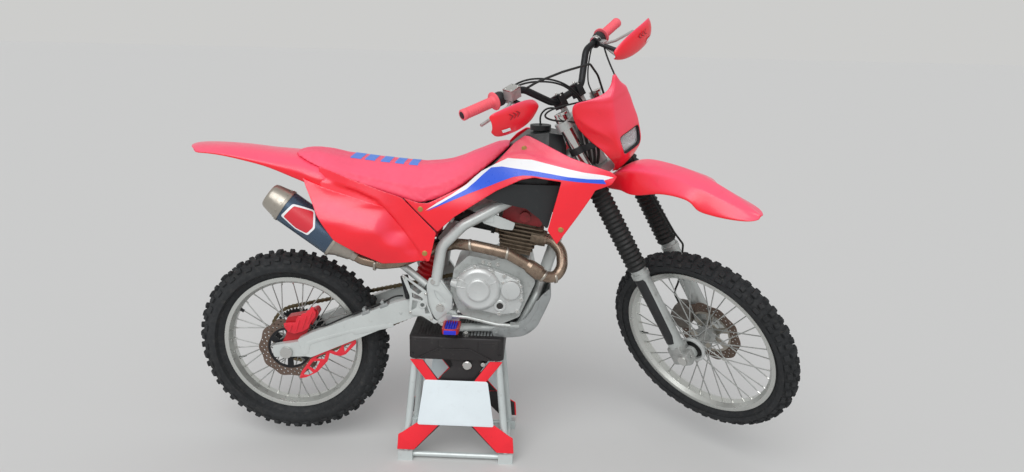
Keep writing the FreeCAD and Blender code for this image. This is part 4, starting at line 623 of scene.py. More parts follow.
def add_bolt(form, place, facing, radius, tall=None, sides=6):
    """Adds a washer with a hexagon head, or a socket head with a recess when sides is 0."""
    tall = tall or radius * 0.8
    add_turned(form, ((0, 0), (0, radius * 1.35), (tall * 0.25, radius * 1.3), (tall * 0.28, 0)), place,
               facing, 16)
    if sides:
        matrix = axis_frame(Vector(place) + Vector(facing).normalized() * (tall * 0.6 / 1000), facing)
        bmesh.ops.create_cone(form, cap_ends=True, segments=sides, radius1=radius / 1000,
                              radius2=radius * 0.96 / 1000, depth=tall / 1000, matrix=matrix)
    else:
        add_turned(form, ((0, 0), (0, radius), (tall * 0.85, radius), (tall, radius * 0.85),
                          (tall, radius * 0.5), (tall * 0.5, radius * 0.48), (tall * 0.5, 0)), place, facing,
                          12)


def add_bolts(form, out, places, radius, tall=None, sides=0):
    """Adds bolts at (reach, height) places in the plane at this side, their heads outwards."""
    for reach, height in places:
        add_bolt(form, at(reach, out, height), (0, math.copysign(1, out), 0), radius, tall, sides)


def add_spline(curve, kind, places):
    spline = curve.splines.new(kind)
    spline.points.add(len(places) - 1)
    for point, place in zip(spline.points, places):
        point.co = (*place, 1)
    return spline


def drawn(curve, form):
    """Adds a curve's mesh to a form and clears the curve away."""
    holder = bpy.data.objects.new("curve", curve)
    mesh = bpy.data.meshes.new_from_object(holder)
    form.from_mesh(mesh)
    bpy.data.objects.remove(holder)
    bpy.data.curves.remove(curve)
    bpy.data.meshes.remove(mesh)
    return form


def flat_plate(outlines, thick, edge=0.0):
    """A plate cut to its first outline with the others as holes, in millimetres, lying in X and Y."""
    curve = bpy.data.curves.new("plate", "CURVE")
    curve.dimensions = "2D"
    curve.fill_mode = "BOTH"
    curve.offset = -edge
    curve.extrude = thick / 2 - edge
    curve.bevel_depth = edge
    curve.bevel_resolution = 1
    for line in outlines:
        add_spline(curve, "POLY", [(across, up, 0) for across, up in line]).use_cyclic_u = True
    form = drawn(curve, bmesh.new())
    bmesh.ops.remove_doubles(form, verts=form.verts[:], dist=0.01)
    bmesh.ops.recalc_face_normals(form, faces=form.faces[:])
    return form


def upright(side):
    """Stands a flat plate, drawn as reach and height, in the plane at this side."""
    return Matrix.Translation((-AXLE_REACH / 1000, side / 1000, 0)) @ turned(90, "X") @ MILLI


def plate_at(outlines, side, thick, edge=0.5, form=None):
    """An upright plate in the frame; added to a form where one is given."""
    made = moved(flat_plate(outlines, thick, edge), upright(side))
    return merged(form, made) if form else made


def merged(form, other):
    mesh = bpy.data.meshes.new("part")
    other.to_mesh(mesh)
    other.free()
    form.from_mesh(mesh)
    bpy.data.meshes.remove(mesh)
    return form


def angles(count, offset=0.0):
    """Angles that share out a full turn."""
    return [math.tau * (i + offset) / count for i in range(count)]


def polar(radius, angle):
    return radius * math.cos(angle), radius * math.sin(angle)


def spoke(radius, angle, out=0):
    """A step in the upright plane along the bike, with another to the side."""
    return Vector((radius * math.cos(angle), out, radius * math.sin(angle)))


def circle(centre, radius, count=48, wave=0.0, waves=0):
    points = [polar(radius + wave * math.cos(waves * a), a) for a in angles(count)]
    return [(centre[0] + x, centre[1] + y) for x, y in points]


def add_hose(form, points, radius):
    """Adds a smooth hose through the frame, in millimetres from the rear axle, with closed ends."""
    curve = bpy.data.curves.new("hose", "CURVE")
    curve.dimensions = "3D"
    curve.bevel_depth = radius / 1000
    curve.bevel_resolution = 2
    curve.use_fill_caps = True
    curve.resolution_u = 8
    spline = add_spline(curve, "NURBS", [at(*place) for place in points])
    spline.order_u = 3
    spline.use_endpoint_u = True
    return drawn(curve, form)


def both_sides(half):
    """Points given as (reach, out, height) on the right, and mirrored on the left, with one middle."""
    return [at(x, -y, z) for x, y, z in half] + [at(x, y, z) for x, y, z in reversed(half[:-1])]


# Red plastics
BAND_OUTLINE = (
    (140, 1020), (170, 1013), (202, 1003), (388, 942), (412, 933), (520, 825), (499, 731), (440, 728),
    (380, 800), (330, 860), (170, 915), (150, 960),
)
PLATE_OUTLINE = (
    (92, 987), (100, 982), (170, 955), (352, 905), (394, 856), (453, 782), (472, 745), (499, 731),
    (350, 723), (275, 758), (200, 800), (146, 875),
)
PANEL_SWELL = (
    (60, ((104, 1060), (122, 990), (130, 970), (162, 870), (156, 700))),
    (200, ((116, 1040), (134, 945), (142, 920), (178, 850), (168, 700))),
    (330, ((124, 1000), (146, 910), (148, 895), (179, 820), (156, 700))),
    (390, ((128, 980), (148, 836), (150, 825), (168, 780), (153, 700))),
    (450, ((130, 970), (148, 765), (150, 755), (151, 730), (148, 700))),
    (560, ((128, 1000), (140, 880), (142, 800), (139, 740), (136, 690))),
)
BAND_FOLD = ((60, 1006), (193, 972), (264, 952), (332, 925), (384, 872), (452, 781), (480, 740))
PLATE_CREASE = ((110, 960), (180, 905), (250, 880), (330, 856), (390, 800), (452, 735))


def band_depth(reach, height):
    """The band under the seat, folded in towards the plate."""
    rise = 9 * min(1, max(-0.9, (reach - 190) / 50))
    return PANEL_BASE(reach, height) + rise * step_up(beside(reach, height, BAND_FOLD), 4)


def panel_depth(reach, height):
    """The outer of the two layers."""
    return max(band_depth(reach, height), plate_depth(reach, height))


def plate_depth(reach, height):
    """The number plate, which stands proud of the band and runs out into it at its lower front corner."""
    proud = 9 * min(1, max(0.1, (495 - reach) / 60))
    return PANEL_BASE(reach, height) + proud - 5 * step_up(beside(reach, height, PLATE_CREASE), 22)


PANEL_BASE = swell(PANEL_SWELL)
SHROUD_OUTLINE = (
    (416, 933), (466, 919), (492, 919), (524, 934), (603, 974), (706, 1052), (762, 1114), (794, 1136),
    (809, 1134), (936, 1079), (1063, 1040), (1083, 1025), (1065, 1001), (1016, 984), (1002, 958),
    (964, 899), (904, 809), (874, 853), (911, 1009), (827, 1017), (787, 1008), (711, 969),
    (579, 880), (524, 828),
)
SHROUD_SWELL = (
    (400, ((126, 1160), (136, 960), (144, 880), (144, 790))),
    (620, ((100, 1160), (130, 985), (154, 900), (150, 790))),
    (800, ((88, 1160), (154, 1040), (178, 960), (172, 790))),
    (930, ((92, 1160), (176, 1040), (190, 960), (182, 790))),
    (1100, ((118, 1160), (162, 1040), (166, 960), (160, 790))),
)
SHROUD_BASE = swell(SHROUD_SWELL)
SHROUD_CREASE = ((690, 1068), (790, 1088), (930, 1052), (1083, 1010))


def shroud_depth(reach, height):
    out = SHROUD_BASE(reach, height)
    return out - 4 * step_up(beside(reach, height, SHROUD_CREASE), 7) * min(1, max(0, (reach - 640) / 80))


def make_panels():
    """Side bands, number plates and shrouds, each a thin bent shell on both sides."""
    for name, outline, depth, cell, hides, wall, rim in (
        ("side_panel_bands", BAND_OUTLINE, band_depth, 5, "side_panels", SHELL_WALL, 0.001),
        ("number_plates", PLATE_OUTLINE, plate_depth, 6, "", 0.008, 0.0018),
        ("shroud_shells", SHROUD_OUTLINE, shroud_depth, 7, "tank_shrouds", SHELL_WALL, 0.001),
    ):
        thicken(piece(name, cut_sheet(outline, depth, cell), "red_plastic", hides=hides), wall, rim)


ARCH_SOFT = ((1.0, 0.0), (1.0, 0.2), (0.96, 0.3), (0.8, 0.56), (0.56, 0.83), (0.3, 0.96), (0.0, 1.0))
ARCH_BOXY = ((1.0, 0.0), (1.0, 0.36), (0.97, 0.46), (0.8, 0.8), (0.56, 0.93), (0.3, 0.98), (0.0, 1.0))


def arch_row(reach, crown, edge, wide, boxy=0.0, bend=0.0):
    """Points over the rear fender: sides, folded shoulders and a crown; bend rounds its end in plan."""
    half = []
    for soft, sharp in zip(ARCH_SOFT, ARCH_BOXY):
        share = soft[0] + boxy * (sharp[0] - soft[0])
        lift = soft[1] + boxy * (sharp[1] - soft[1])
        half.append((reach + bend * share**2, share * wide, edge + lift * (crown - edge)))
    return both_sides(half)


def ridged_row(reach, ridge, spine, edge, wide):
    """Points over the front fender: a flat spine between two creases and straight sides down to the lip."""
    run = (wide - spine) / 3
    drop = (ridge - edge) / 3
    half = [
        (wide, edge), (wide, edge + min(6, drop)), (wide - run * 0.8, edge + drop * 1.3),
        (spine + run, ridge - drop * 0.7), (spine + run * 0.2, ridge - 1.5), (spine * 0.85, ridge),
        (spine * 0.4, ridge + 2), (0.0, ridge + 2.5),
    ]
    return both_sides([(reach, y, z) for y, z in half])


# Columns: reach, crown height, edge height, half width, boxiness, bend of the end
REAR_FENDER_ROWS = (
    (-309, 1062, 1050, 74, 0, 42), (-306, 1066, 1049, 78, 0, 40), (-292, 1070, 1048, 80, 0, 34),
    (-240, 1072, 1047, 81, 0, 14), (-180, 1071, 1042, 84, 0, 2), (-116, 1068, 1030, 88, 0, 0),
    (-60, 1062, 1018, 92, 0.1, 0), (-30, 1059, 1010, 95, 0.25, 0), (10, 1057, 997, 101, 0.5, 0),
    (50, 1053, 983, 110, 0.8, 0), (80, 1047, 974, 117, 1, 0), (110, 1038, 964, 126, 1, 0),
    (140, 1033, 956, 130, 1, 0), (162, 1027, 951, 127, 1, 0), (190, 1016, 946, 115, 1, 0),
)
# Columns: reach, height of the spine, half width of the spine, height of the lip, half width
FRONT_FENDER_ROWS = (
    (1080, 1006, 26, 975, 36), (1135, 1052, 34, 990, 46), (1162, 1068, 38, 1004, 58),
    (1190, 1080, 41, 1005, 68), (1222, 1087, 41, 1012, 73), (1262, 1091, 38, 1028, 75),
    (1301, 1094, 34, 1046, 75), (1345, 1094, 31, 1055, 73), (1392, 1088, 30, 1057, 71),
    (1422, 1083, 29, 1051, 70), (1436, 1080, 28, 1027, 69), (1470, 1071, 26, 1024, 65),
    (1510, 1060, 22, 1023, 60), (1550, 1048, 17, 1023, 50), (1582, 1038, 11, 1023, 38),
    (1600, 1033, 6, 1024, 24), (1607, 1030, 3, 1025, 12),
)


def make_fenders():
    for end, rows, centre, body in (
        ("rear", [arch_row(*row) for row in REAR_FENDER_ROWS], at(-60, 0, 600), "chassis"),
        ("front", [ridged_row(*row) for row in FRONT_FENDER_ROWS], at(1380, 0, 700), FORK_BODY),
    ):
        form = outward(bridged(rows), centre)
        smooth_shell(piece(end + "_fender_shell", form, "red_plastic", body, end + "_fender", angle=180))


# Columns: height, reach of the nose, half width of the face, reach of the sides, half width
COWL_SECTIONS = (
    (1034, 1112, 10, 1100, 18), (1083, 1151, 36, 1136, 48), (1132, 1174, 54, 1128, 80),
    (1153, 1171, 57, 1110, 85), (1172, 1167, 59, 1074, 90), (1206, 1159, 62, 1042, 98),
    (1216, 1157, 61, 1036, 100), (1254, 1147, 55, 1026, 104), (1285, 1140, 51, 1028, 103),
    (1297, 1137, 47, 1036, 98), (1303, 1136, 46, 1058, 86), (1309, 1135, 44, 1080, 69),
    (1316, 1133, 41, 1096, 53), (1324, 1131, 33, 1108, 39), (1333, 1129, 23, 1113, 28),
    (1347, 1125, 14, 1116, 18), (1358, 1122, 8, 1116, 11), (1367, 1119, 3, 1116, 4),
)
COWL_HEIGHTS = (
    1034, 1058, 1083, 1108, 1128, 1150, 1170, 1190, 1204, 1216, 1236, 1254, 1272, 1285, 1297, 1303, 1309,
    1316, 1324, 1333, 1347, 1358, 1367,
)
# Columns: height, place of the flank's crease from the rear edge to the face, how far it stands out
COWL_CREASE = (
    (1034, 0.5, 0.1), (1128, 0.8, 0.06), (1170, 0.84, 0.06), (1190, 0.84, 0.1), (1216, 0.5, 0.17),
    (1254, 0.16, 0.1), (1297, 0.14, 0.04), (1309, 0.3, 0.02), (1324, 0.5, 0.0), (1367, 0.5, 0.0),
)
LAMP_LOW = 1128
LAMP_HIGH = 1190


def table_row(table, place):
    """All the columns of a table at a place between its rows."""
    knots = [row[0] for row in table]
    return [eased(knots, [row[i] for row in table], place) for i in range(1, len(table[0]))]


def cowl_row(height):
    """Points across the cowl: a flat face with a crease each side, then a flank with a slanting fold."""
    nose, face, back, half = table_row(COWL_SECTIONS, height)
    fold = nose - 5
    crease, proud = table_row(COWL_CREASE, height)
    soft = min(5, face * 0.12)
    lamp = min(44 + (height - LAMP_LOW) * 0.13, face * 0.86)

    def flank(share, out):
        return (back + share * (fold - back), half + share * (face - half) + out * (half - face))

    points = [
        flank(0, 0), flank(crease * 0.5, proud * 0.5), flank(crease - 0.05, proud),
        flank(crease + 0.05, proud), flank((crease + 1) / 2, proud * 0.5), flank(0.97, 0.01),
        (fold + 1, face - soft), (nose - 1.5, lamp), (nose, lamp / 2), (nose, 0),
    ]
    return both_sides([(reach, side, height) for reach, side in points])


def in_lamp(face):
    middle = face.calc_center_median()
    return LAMP_LOW < middle.z * 1000 < LAMP_HIGH and abs(middle.y) < 0.043


def take_out(form, unwanted):
    bmesh.ops.delete(form, geom=[f for f in form.faces if unwanted(f)], context="FACES")


def make_cowl():
    """Cowl with the lamp's opening, the lens that fills it, its rim, a reflector behind and the bulb."""
    form = outward(bridged([cowl_row(height) for height in COWL_HEIGHTS]), at(1000, 0, 1200))
    lens = form.copy()
    take_out(form, in_lamp)
    # The cowl's finish carries painted sheen on its face and tops.
    smooth_shell(piece("headlight_cowl_shell", form, "cowl_painted_sheen", FORK_BODY, "headlight_cowl", 180,
                       "red_plastic"))
    take_out(lens, lambda face: not in_lamp(face))
    rim = lens.copy()
    bowl = lens.copy()
    middle = at(1168, 0, 1159)
    for v in lens.verts:
        v.co = middle + (v.co - middle) * 0.985 - Vector((0.011, 0, 0))
    smooth_shell(piece("headlight_lens", lens, "lens_clear", FORK_BODY, "headlight", 180, "lens"), 0.002)
    edges = [e for e in rim.edges if e.is_boundary]
    grown = bmesh.ops.extrude_edge_only(rim, edges=edges)["geom"]
    inner = [v for v in grown if isinstance(v, bmesh.types.BMVert)]
    take_out(rim, lambda face: not any(v in inner for v in face.verts))
    for v in inner:
        v.co += Vector((-0.02, 0, 0)) + (middle - v.co) * 0.03
    smooth_shell(piece("headlight_rim", rim, "black_plastic", FORK_BODY, angle=60), 0.002, 1)
    for v in bowl.verts:
        share = (v.co - middle).length / 0.055
        v.co += Vector((-0.024 - 0.03 * max(0, 1 - share * share), 0, 0))
    shine = piece("headlight_reflector", bowl, "reflector", FORK_BODY, angle=180, slot="bright_steel")
    smooth_shell(shine, 0.0015)
    turned_piece("headlight_bulb", "lens", ((-26, 0), (-26, 9), (-8, 9), (-4, 6), (0, 0)),
                 middle - Vector((0.024, 0, 0)), (1, 0, 0), 16, FORK_BODY)


# Columns: distance out, reach, low and high edges
GUARD_ROWS = (
    (196, 968, 1308, 1330), (204, 972, 1302, 1342), (236, 982, 1291, 1362), (288, 988, 1289, 1376),
    (340, 989, 1295, 1383), (384, 983, 1304, 1385), (396, 976, 1312, 1381), (401, 969, 1326, 1372),
)


def make_cowl_stays():
    """Straps round the fork tubes, with arms that run into the cowl."""
    form = bmesh.new()
    strap = ((-11, 21.2), (-11, 25.5), (11, 25.5), (11, 21.2))
    for side in BOTH:
        add_turned(form, strap, at(1024, side * FORK_SIDE, 1128), (-RAKE_BACK, 0, RAKE_UP), 32)
        rows = []
        for reach, out, height in ((1044, 90, 1138), (1070, 88, 1152), (1103, 76, 1171)):
            rows.append([at(reach - RAKE_BACK * up, side * (out + wide), height + RAKE_UP * up)
                         for up, wide in ((-10, -2), (10, -2), (10, 2), (-10, 2))])
        merged(form, capped(bridged(rows, closed=True)))
    piece("cowl_stays", form, "black_plastic", FORK_BODY, "cowl_brackets")


def guard_sheet(rows, side):
    """A sheet on a hand guard's face, facing ahead and out."""
    return outward(bridged(rows), at(700, side * 300, 1300))


def guard_place(row, side, share, lift=0.0):
    """A place on a hand guard's rounded face, at a share of its height and lifted off it by millimetres."""
    out, reach, low, high = row
    belly = 11 * math.sin(math.pi * share) ** 0.6
    return at(reach + belly + lift, side * out, low + (high - low) * share)


def make_hand_guards():
    for label, side in (("right", -1), ("left", 1)):
        shares = (0, 0.12, 0.35, 0.6, 0.85, 1)
        form = guard_sheet([[guard_place(row, side, share) for share in shares] for row in GUARD_ROWS], side)
        hides = "hand_guards" if side < 0 else ""
        smooth_shell(piece("hand_guard_shell_" + label, form, "red_plastic", FORK_BODY, hides, 180))
        arms = bmesh.new()
        for ends in (((886, 226, 1338), (978, 232, 1322)), ((968, 232, 1318), (986, 268, 1326))):
            inner, outer = (at(reach, side * out, height) for reach, out, height in ends)
            add_rod(arms, inner, outer, 7, 12)
        add_turned(arms, ((-9, 11.2), (-9, 17), (9, 17), (9, 11.2)), at(880, side * 226, 1340),
                   (-0.12, side, 0.03), 20)
        piece("hand_guard_arm_" + label, arms, "black_plastic", FORK_BODY)


# Tyres
def tyre_form(centre, outer, half, rim, bead, rows, lug):
    """Knobby tyre on an axle along Y, in millimetres: a turned carcass with two alternating rows of lugs."""
    form = bmesh.new()
    crown = outer - lug
    shoulder = outer - 0.35 * (outer - rim)
    middle = (rim + shoulder) / 2 + 6
    profile = [(bead - 6, rim - 4), (bead, rim - 2), (bead + 2, rim + 5), (bead + 8, rim + 13),
               (bead + 9, rim + 15), (bead + 12, rim + 20), (half - 3, middle - 9), (half - 1, middle + 3),
               (half - 2.5, middle + 8), (half - 5, shoulder - 12), (half - 11, shoulder - 3),
               (half * 0.62, crown - 8), (half * 0.34, crown - 1.5), (0, crown)]
    points = profile + [(-y, r) for y, r in reversed(profile[:-1])]
    verts = [form.verts.new(at(centre[0], y, centre[2] + r)) for y, r in points]
    edges = [form.edges.new(pair) for pair in zip(verts, verts[1:])]
    bmesh.ops.spin(form, geom=verts + edges, cent=at(*centre), axis=LEFT, angle=math.tau, steps=144,
                   use_merge=True)
    bmesh.ops.remove_doubles(form, verts=form.verts[:], dist=1e-5)
    bmesh.ops.recalc_face_normals(form, faces=form.faces[:])
    arc = ((outer - shoulder) ** 2 + (half - 5) ** 2) / (2 * (outer - shoulder))
    # Columns: place across as a share of the half width, width, length, lean of the block, height
    even = ((0.2, 19, 19, 0, 1.0), (0.84, 19, 22, 0, 1.0))
    odd = ((0.5, 18, 18, 10, 1.0), (0.98, 15, 27, 0, 0.9))
    for step in range(rows):
        for share, wide, long, twist, rise in (even if step % 2 else odd):
            for side in BOTH:
                tilt = math.asin(min(0.995, share * (half - 5) / arc))
                block = bmesh.ops.create_cube(form, size=1)["verts"]
                tall = lug * rise + 5
                bmesh.ops.scale(form, vec=(long / 1000, wide / 1000, tall / 1000), verts=block)
                for v in block:
                    if v.co.z > 0:
                        v.co.x *= 0.86
                        v.co.y *= 0.86
                edges = [e for v in block for e in v.link_edges if any(w.co.z > 0 for w in e.verts)]
                block = soften(form, list(dict.fromkeys(edges)), 0.0016, 1, block)
                seat = Matrix.Translation((0, 0, (arc - lug + tall / 2 - 5) / 1000))
                move = (
                    Matrix.Translation(at(*centre))
                    @ Matrix.Rotation(math.tau * step / rows, 4, "Y")
                    @ Matrix.Translation((0, 0, (outer - arc) / 1000))
                    @ Matrix.Rotation(-side * tilt, 4, "X")
                    @ seat
                    @ Matrix.Rotation(math.radians(side * twist), 4, "Z")
                )
                bmesh.ops.transform(form, matrix=move, verts=block)
    return form


def make_tyres():
    for end, axle, sizes in (("rear", REAR_AXLE, (334, 54, 243, 23.7, 54, 13)),
                             ("front", FRONT_AXLE, (346, 42, 280.5, 18.7, 56, 12))):
        piece(end + "_tyre_knobby", tyre_form(axle, *sizes), "tyre", end + "_wheel", end + "_tyre", angle=35)


# Seat
# Columns: reach, height of the base, height of the top, half width at the base, half width at the top
SEAT_ROWS = (
    (50, 1048, 1055, 40, 32), (62, 1045, 1058, 66, 52), (82, 1040, 1059, 84, 66), (107, 1029, 1058, 97, 74),
    (150, 1013, 1053, 110, 80), (202, 995, 1042, 119, 86), (295, 963, 1033, 128, 88),
    (388, 934, 1026, 130, 88), (466, 915, 1022, 128, 84), (520, 928, 1027, 121, 81),
    (558, 947, 1034, 113, 78), (600, 973, 1049, 102, 73), (628, 993, 1062, 93, 68),
    (670, 1026, 1079, 82, 62), (706, 1056, 1096, 71, 57), (730, 1078, 1102, 60, 50),
    (746, 1092, 1102, 50, 42),
)


def seat_row(reach, low, high, wide, top):
    rise = high - low
    half = [(wide - 2, 0.0), (wide, 0.12), (wide - 0.3 * (wide - top), 0.45), (top + 4, 0.72),
            (top - 14, 0.88), (top * 0.45, 0.975)]
    right = [at(reach, -y, low + share * rise) for y, share in half]
    left = [at(reach, y, low + share * rise) for y, share in reversed(half)]
    return right + left + [at(reach, wide * 0.4, low), at(reach, -wide * 0.4, low)]


SEAT_GRID = 0.005
CUSHION_PRESSURE = 4
CUSHION_STIFFNESS = 25
CUSHION_FRAMES = 20
CUSHION_CAP = 0.005


def make_seat():
    form = capped(bridged([seat_row(*row) for row in SEAT_ROWS], closed=True))
    seat = piece("seat_cushion", form, "seat_cover", hides="seat", angle=180)
    grid = seat.modifiers.new("grid", "REMESH")
    grid.mode = "VOXEL"
    grid.voxel_size = SEAT_GRID
    settle(seat)
    puff(seat)
    subdivide(seat, 1)
    return seat


def settle(made):
    """Applies the modifiers of a piece."""
    bpy.context.view_layer.update()
    sight = bpy.context.evaluated_depsgraph_get()
    mesh = bpy.data.meshes.new_from_object(made.evaluated_get(sight))
    mesh.name = made.name
    made.modifiers.clear()
    made.data = mesh
    mesh.shade_smooth()


def puff(made):
    """Inflates a cushion a little with cloth, its base held and no point moved further than the cap."""
    start = [v.co.copy() for v in made.data.vertices]
    held = made.vertex_groups.new(name="held")
    held.add([p.vertices[0] for p in made.data.polygons if p.normal.z < -0.7], 1.0, "REPLACE")
    cloth = made.modifiers.new("cloth", "CLOTH")
    cloth.settings.vertex_group_mass = "held"
    cloth.settings.use_pressure = True
    cloth.settings.uniform_pressure_force = CUSHION_PRESSURE
    cloth.settings.effector_weights.gravity = 0
    cloth.settings.tension_stiffness = CUSHION_STIFFNESS
    cloth.settings.compression_stiffness = CUSHION_STIFFNESS
    cloth.point_cache.frame_start = 1
    cloth.point_cache.frame_end = CUSHION_FRAMES
    for count in range(1, CUSHION_FRAMES + 1):
        scene.frame_set(count)
    settle(made)
    scene.frame_set(1)
    for v, before in zip(made.data.vertices, start):
        move = v.co - before
        if move.length > CUSHION_CAP:
            v.co = before + move * (CUSHION_CAP / move.length)
    made.vertex_groups.clear()


# Stripes on the shrouds
WHITE_BAND = (
    (487, 897), (523, 922), (567, 948), (615, 982), (638, 1004), (662, 1025), (700, 1047), (743, 1069),
    (818, 1068), (884, 1056), (931, 1047), (979, 1038), (1040, 1030), (1072, 1023), (1040, 1015),
    (993, 1015), (932, 1020), (885, 1026), (838, 1031), (781, 1035), (725, 1038), (694, 1033), (671, 1013),
    (647, 988), (617, 963), (569, 936),
)
BLUE_BAND = (
    (489, 894), (567, 940), (615, 967), (643, 992), (667, 1016), (692, 1038), (725, 1043), (781, 1039),
    (838, 1035), (885, 1030), (932, 1024), (993, 1019), (1040, 1018), (1049, 1004), (1004, 1007),
    (961, 1010), (923, 1014), (862, 1019), (819, 1022), (791, 1021), (763, 1015), (725, 999), (678, 977),
    (621, 953), (539, 917),
)


def make_stripes():
    for name, line, finish, lift in (("shroud_stripe_white", WHITE_BAND, "stripe_white", 0.6),
                                     ("shroud_stripe_blue", BLUE_BAND, "stripe_blue", 0.9)):
        form = cut_sheet(line, shroud_depth, 5, 0, lift)
        piece(name, form, finish, angle=180, slot="red_plastic")


# Seat blocks: the reach of each one's middle and its width
SEAT_BLOCKS = ((246, 36), (292, 33), (342, 30), (388, 29), (434, 29))
PRINT_LIFT = 0.0006


def make_seat_blocks(seat):
    """Five blue blocks printed across the top, as thin skins on the cushion."""
    tree = BVHTree.FromObject(seat, bpy.context.evaluated_depsgraph_get())
    form = bmesh.new()
    for middle, wide in SEAT_BLOCKS:
        grid = bmesh.ops.create_grid(form, x_segments=6, y_segments=40, size=0.5)["verts"]
        for v in grid:
            spot = at(middle + v.co.x * wide, v.co.y * 98, 1200)
            hit, normal, _, _ = tree.ray_cast(spot, (0, 0, -1))
            v.co = hit + normal * PRINT_LIFT if hit else spot - Vector((0, 0, 0.15))
    bmesh.ops.recalc_face_normals(form, faces=form.faces[:])
    piece("seat_blocks_blue", form, "seat_blue", angle=180, slot="seat_cover")


# Muffler
MUFFLER_FRONT = (256, -126, 734)
MUFFLER_BACK = (-18, -126, 929)


def make_muffler():
    start, end = at(*MUFFLER_FRONT), at(*MUFFLER_BACK)
    run = (end - start).normalized()
    length = (end - start).length * 1000
    can = 56
    polished = {"angle": 30, "slot": "bright_steel"}
    turned_piece("muffler_reducer", "steel_brushed", (
        (-4, 19), (-4, 21), (12, 23), (16, 27), (58, 40), (76, can - 5), (80, can - 3), (80, 19),
    ), start, run, 64, **polished)
    turned_piece("muffler_can", "can_alloy", (
        (79, 30), (79, can - 2.5), (length - 58, can - 2.5), (length - 58, 30),
    ), start, run, 64, hides="muffler", angle=30)
    bands = bmesh.new()
    for place in (76, length - 66):
        add_turned(bands, ((place, can - 3), (place, can - 0.6), (place + 1, can), (place + 9, can),
                           (place + 10, can - 0.6), (place + 10, can - 3)), start, run, 64)
        clamp = start + run * (place + 5) / 1000 + Vector((0, 0.02, -0.052))
        add_block(bands, clamp, 12, 14, 8, run.to_track_quat("X", "Z").to_matrix().to_4x4(), 1)
    rivets = start + run * (length - 51) / 1000
    for angle in angles(10):
        out = Matrix.Rotation(angle, 4, run) @ run.orthogonal().normalized()
        add_rod(bands, rivets + out * 0.050, rivets + out * 0.0545, 2.2, 8)
    piece("muffler_bands", bands, "steel_brushed", **polished)
    turned_piece("muffler_end_cap", "steel_brushed", (
        (length - 58, 30), (length - 58, can - 3), (length - 54, can - 3.2), (length - 10, can - 13),
        (length - 3, can - 16), (length, can - 20), (length - 1, 25), (length - 8, 23), (length - 40, 22),
        (length - 40, 0),
    ), start, run, 64, **polished)
    turned_piece("muffler_bore", "soot", ((length - 39, 0), (length - 39, 21.8), (length - 38.6, 0)),
                 start, run, 32, angle=30, slot="dark_steel")
    wrap_shield(start, run, can - 2.5)


# Along the can and round it, in millimetres
SHIELD_LINE = ((254, 38), (188, 66), (153, 14), (160, -20), (204, -28), (263, -17))


def wrap_shield(start, run, radius):
    """Plain red shield wrapped on the can, with a white rim."""
    out = Vector(RIGHT)
    out = (out - run * out.dot(run)).normalized()
    up = run.cross(out) if run.cross(out).z > 0 else out.cross(run)
    middle = Vector((sum(p[0] for p in SHIELD_LINE) / 6, sum(p[1] for p in SHIELD_LINE) / 6))
    for name, grow, finish, lift in (("can_shield_rim", 1.0, "stripe_white", 0.3),
                                     ("can_shield", 0.86, "shield_red", 0.6)):
        line = [middle + (Vector(point) - middle) * grow for point in SHIELD_LINE]
        form = cut_flat(line, 6, 5)
        for v in form.verts:
            angle = v.co.z / radius
            spot = start + run * (v.co.x / 1000)
            v.co = spot + (out * math.cos(angle) + up * math.sin(angle)) * (radius + lift) / 1000
        outward(form, start + run * 0.18)
        piece(name, form, finish, angle=180, slot="can_alloy")


# Chain
CHAIN_PITCH = 15.875
CHAIN_SIDE = 66


def make_chain():
    """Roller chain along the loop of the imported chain: side plates in pairs with rollers between."""
    rear, front = Vector((REAR_AXLE[0], REAR_AXLE[2])), Vector((592, 588))
    radii = (105, 36)
    run = front - rear
    slope = math.atan2(run.y, run.x)
    spread = math.acos((radii[0] - radii[1]) / run.length)
    path = []
    for centre, radius, low, high in ((rear, radii[0], slope + spread, slope + math.tau - spread),
                                      (front, radii[1], slope - spread, slope + spread)):
        count = 64
        path += [centre + Vector((math.cos(a), math.sin(a))) * radius
                 for a in (low + (high - low) * i / count for i in range(count + 1))]
    path.append(path[0])
    lengths = [0]
    for first, second in zip(path, path[1:]):
        lengths.append(lengths[-1] + (second - first).length)
    links = 2 * round(lengths[-1] / CHAIN_PITCH / 2)

    def along(distance):
        distance %= lengths[-1]
        step = max(i for i, value in enumerate(lengths) if value <= distance)
        if step == len(path) - 1:
            return path[0]
        share = (distance - lengths[step]) / (lengths[step + 1] - lengths[step])
        return path[step].lerp(path[step + 1], share)

    pitch = lengths[-1] / links
    link = flat_plate([figure_eight(pitch, 6.6)], 1.6)
    template = bpy.data.meshes.new("link")
    link.to_mesh(template)
    link.free()
    plates, rollers = bmesh.new(), bmesh.new()
    for step in range(links):
        first, second = along(step * pitch), along((step + 1) * pitch)
        middle = (first + second) / 2
        turn = Matrix.Rotation(-math.atan2((second - first).y, (second - first).x), 4, "Y")
        for side in BOTH:
            old = set(plates.verts)
            plates.from_mesh(template)
            new = [v for v in plates.verts if v not in old]
            out = CHAIN_SIDE + side * (6.0 if step % 2 else 4.2)
            matrix = Matrix.Translation(at(middle.x, out, middle.y)) @ turn @ turned(90, "X") @ MILLI
            bmesh.ops.transform(plates, verts=new, matrix=matrix)
        add_rod(rollers, at(first.x, CHAIN_SIDE - 6, first.y), at(first.x, CHAIN_SIDE + 6, first.y), 4.6, 8)
    bpy.data.meshes.remove(template)
    piece("chain_plates", plates, "chain_gold", hides="drive_chain", slot="dark_steel")
    piece("chain_rollers", rollers, "bright_steel")


def figure_eight(pitch, radius):
    points = []
    for side in (1, -1):
        for i in range(5):
            a = -math.pi / 2 * 0.8 + math.pi * 0.8 * i / 4
            points.append((side * (pitch / 2 + radius * math.cos(a)), side * radius * math.sin(a)))
        points.append((0, side * radius * 0.66))
    return points


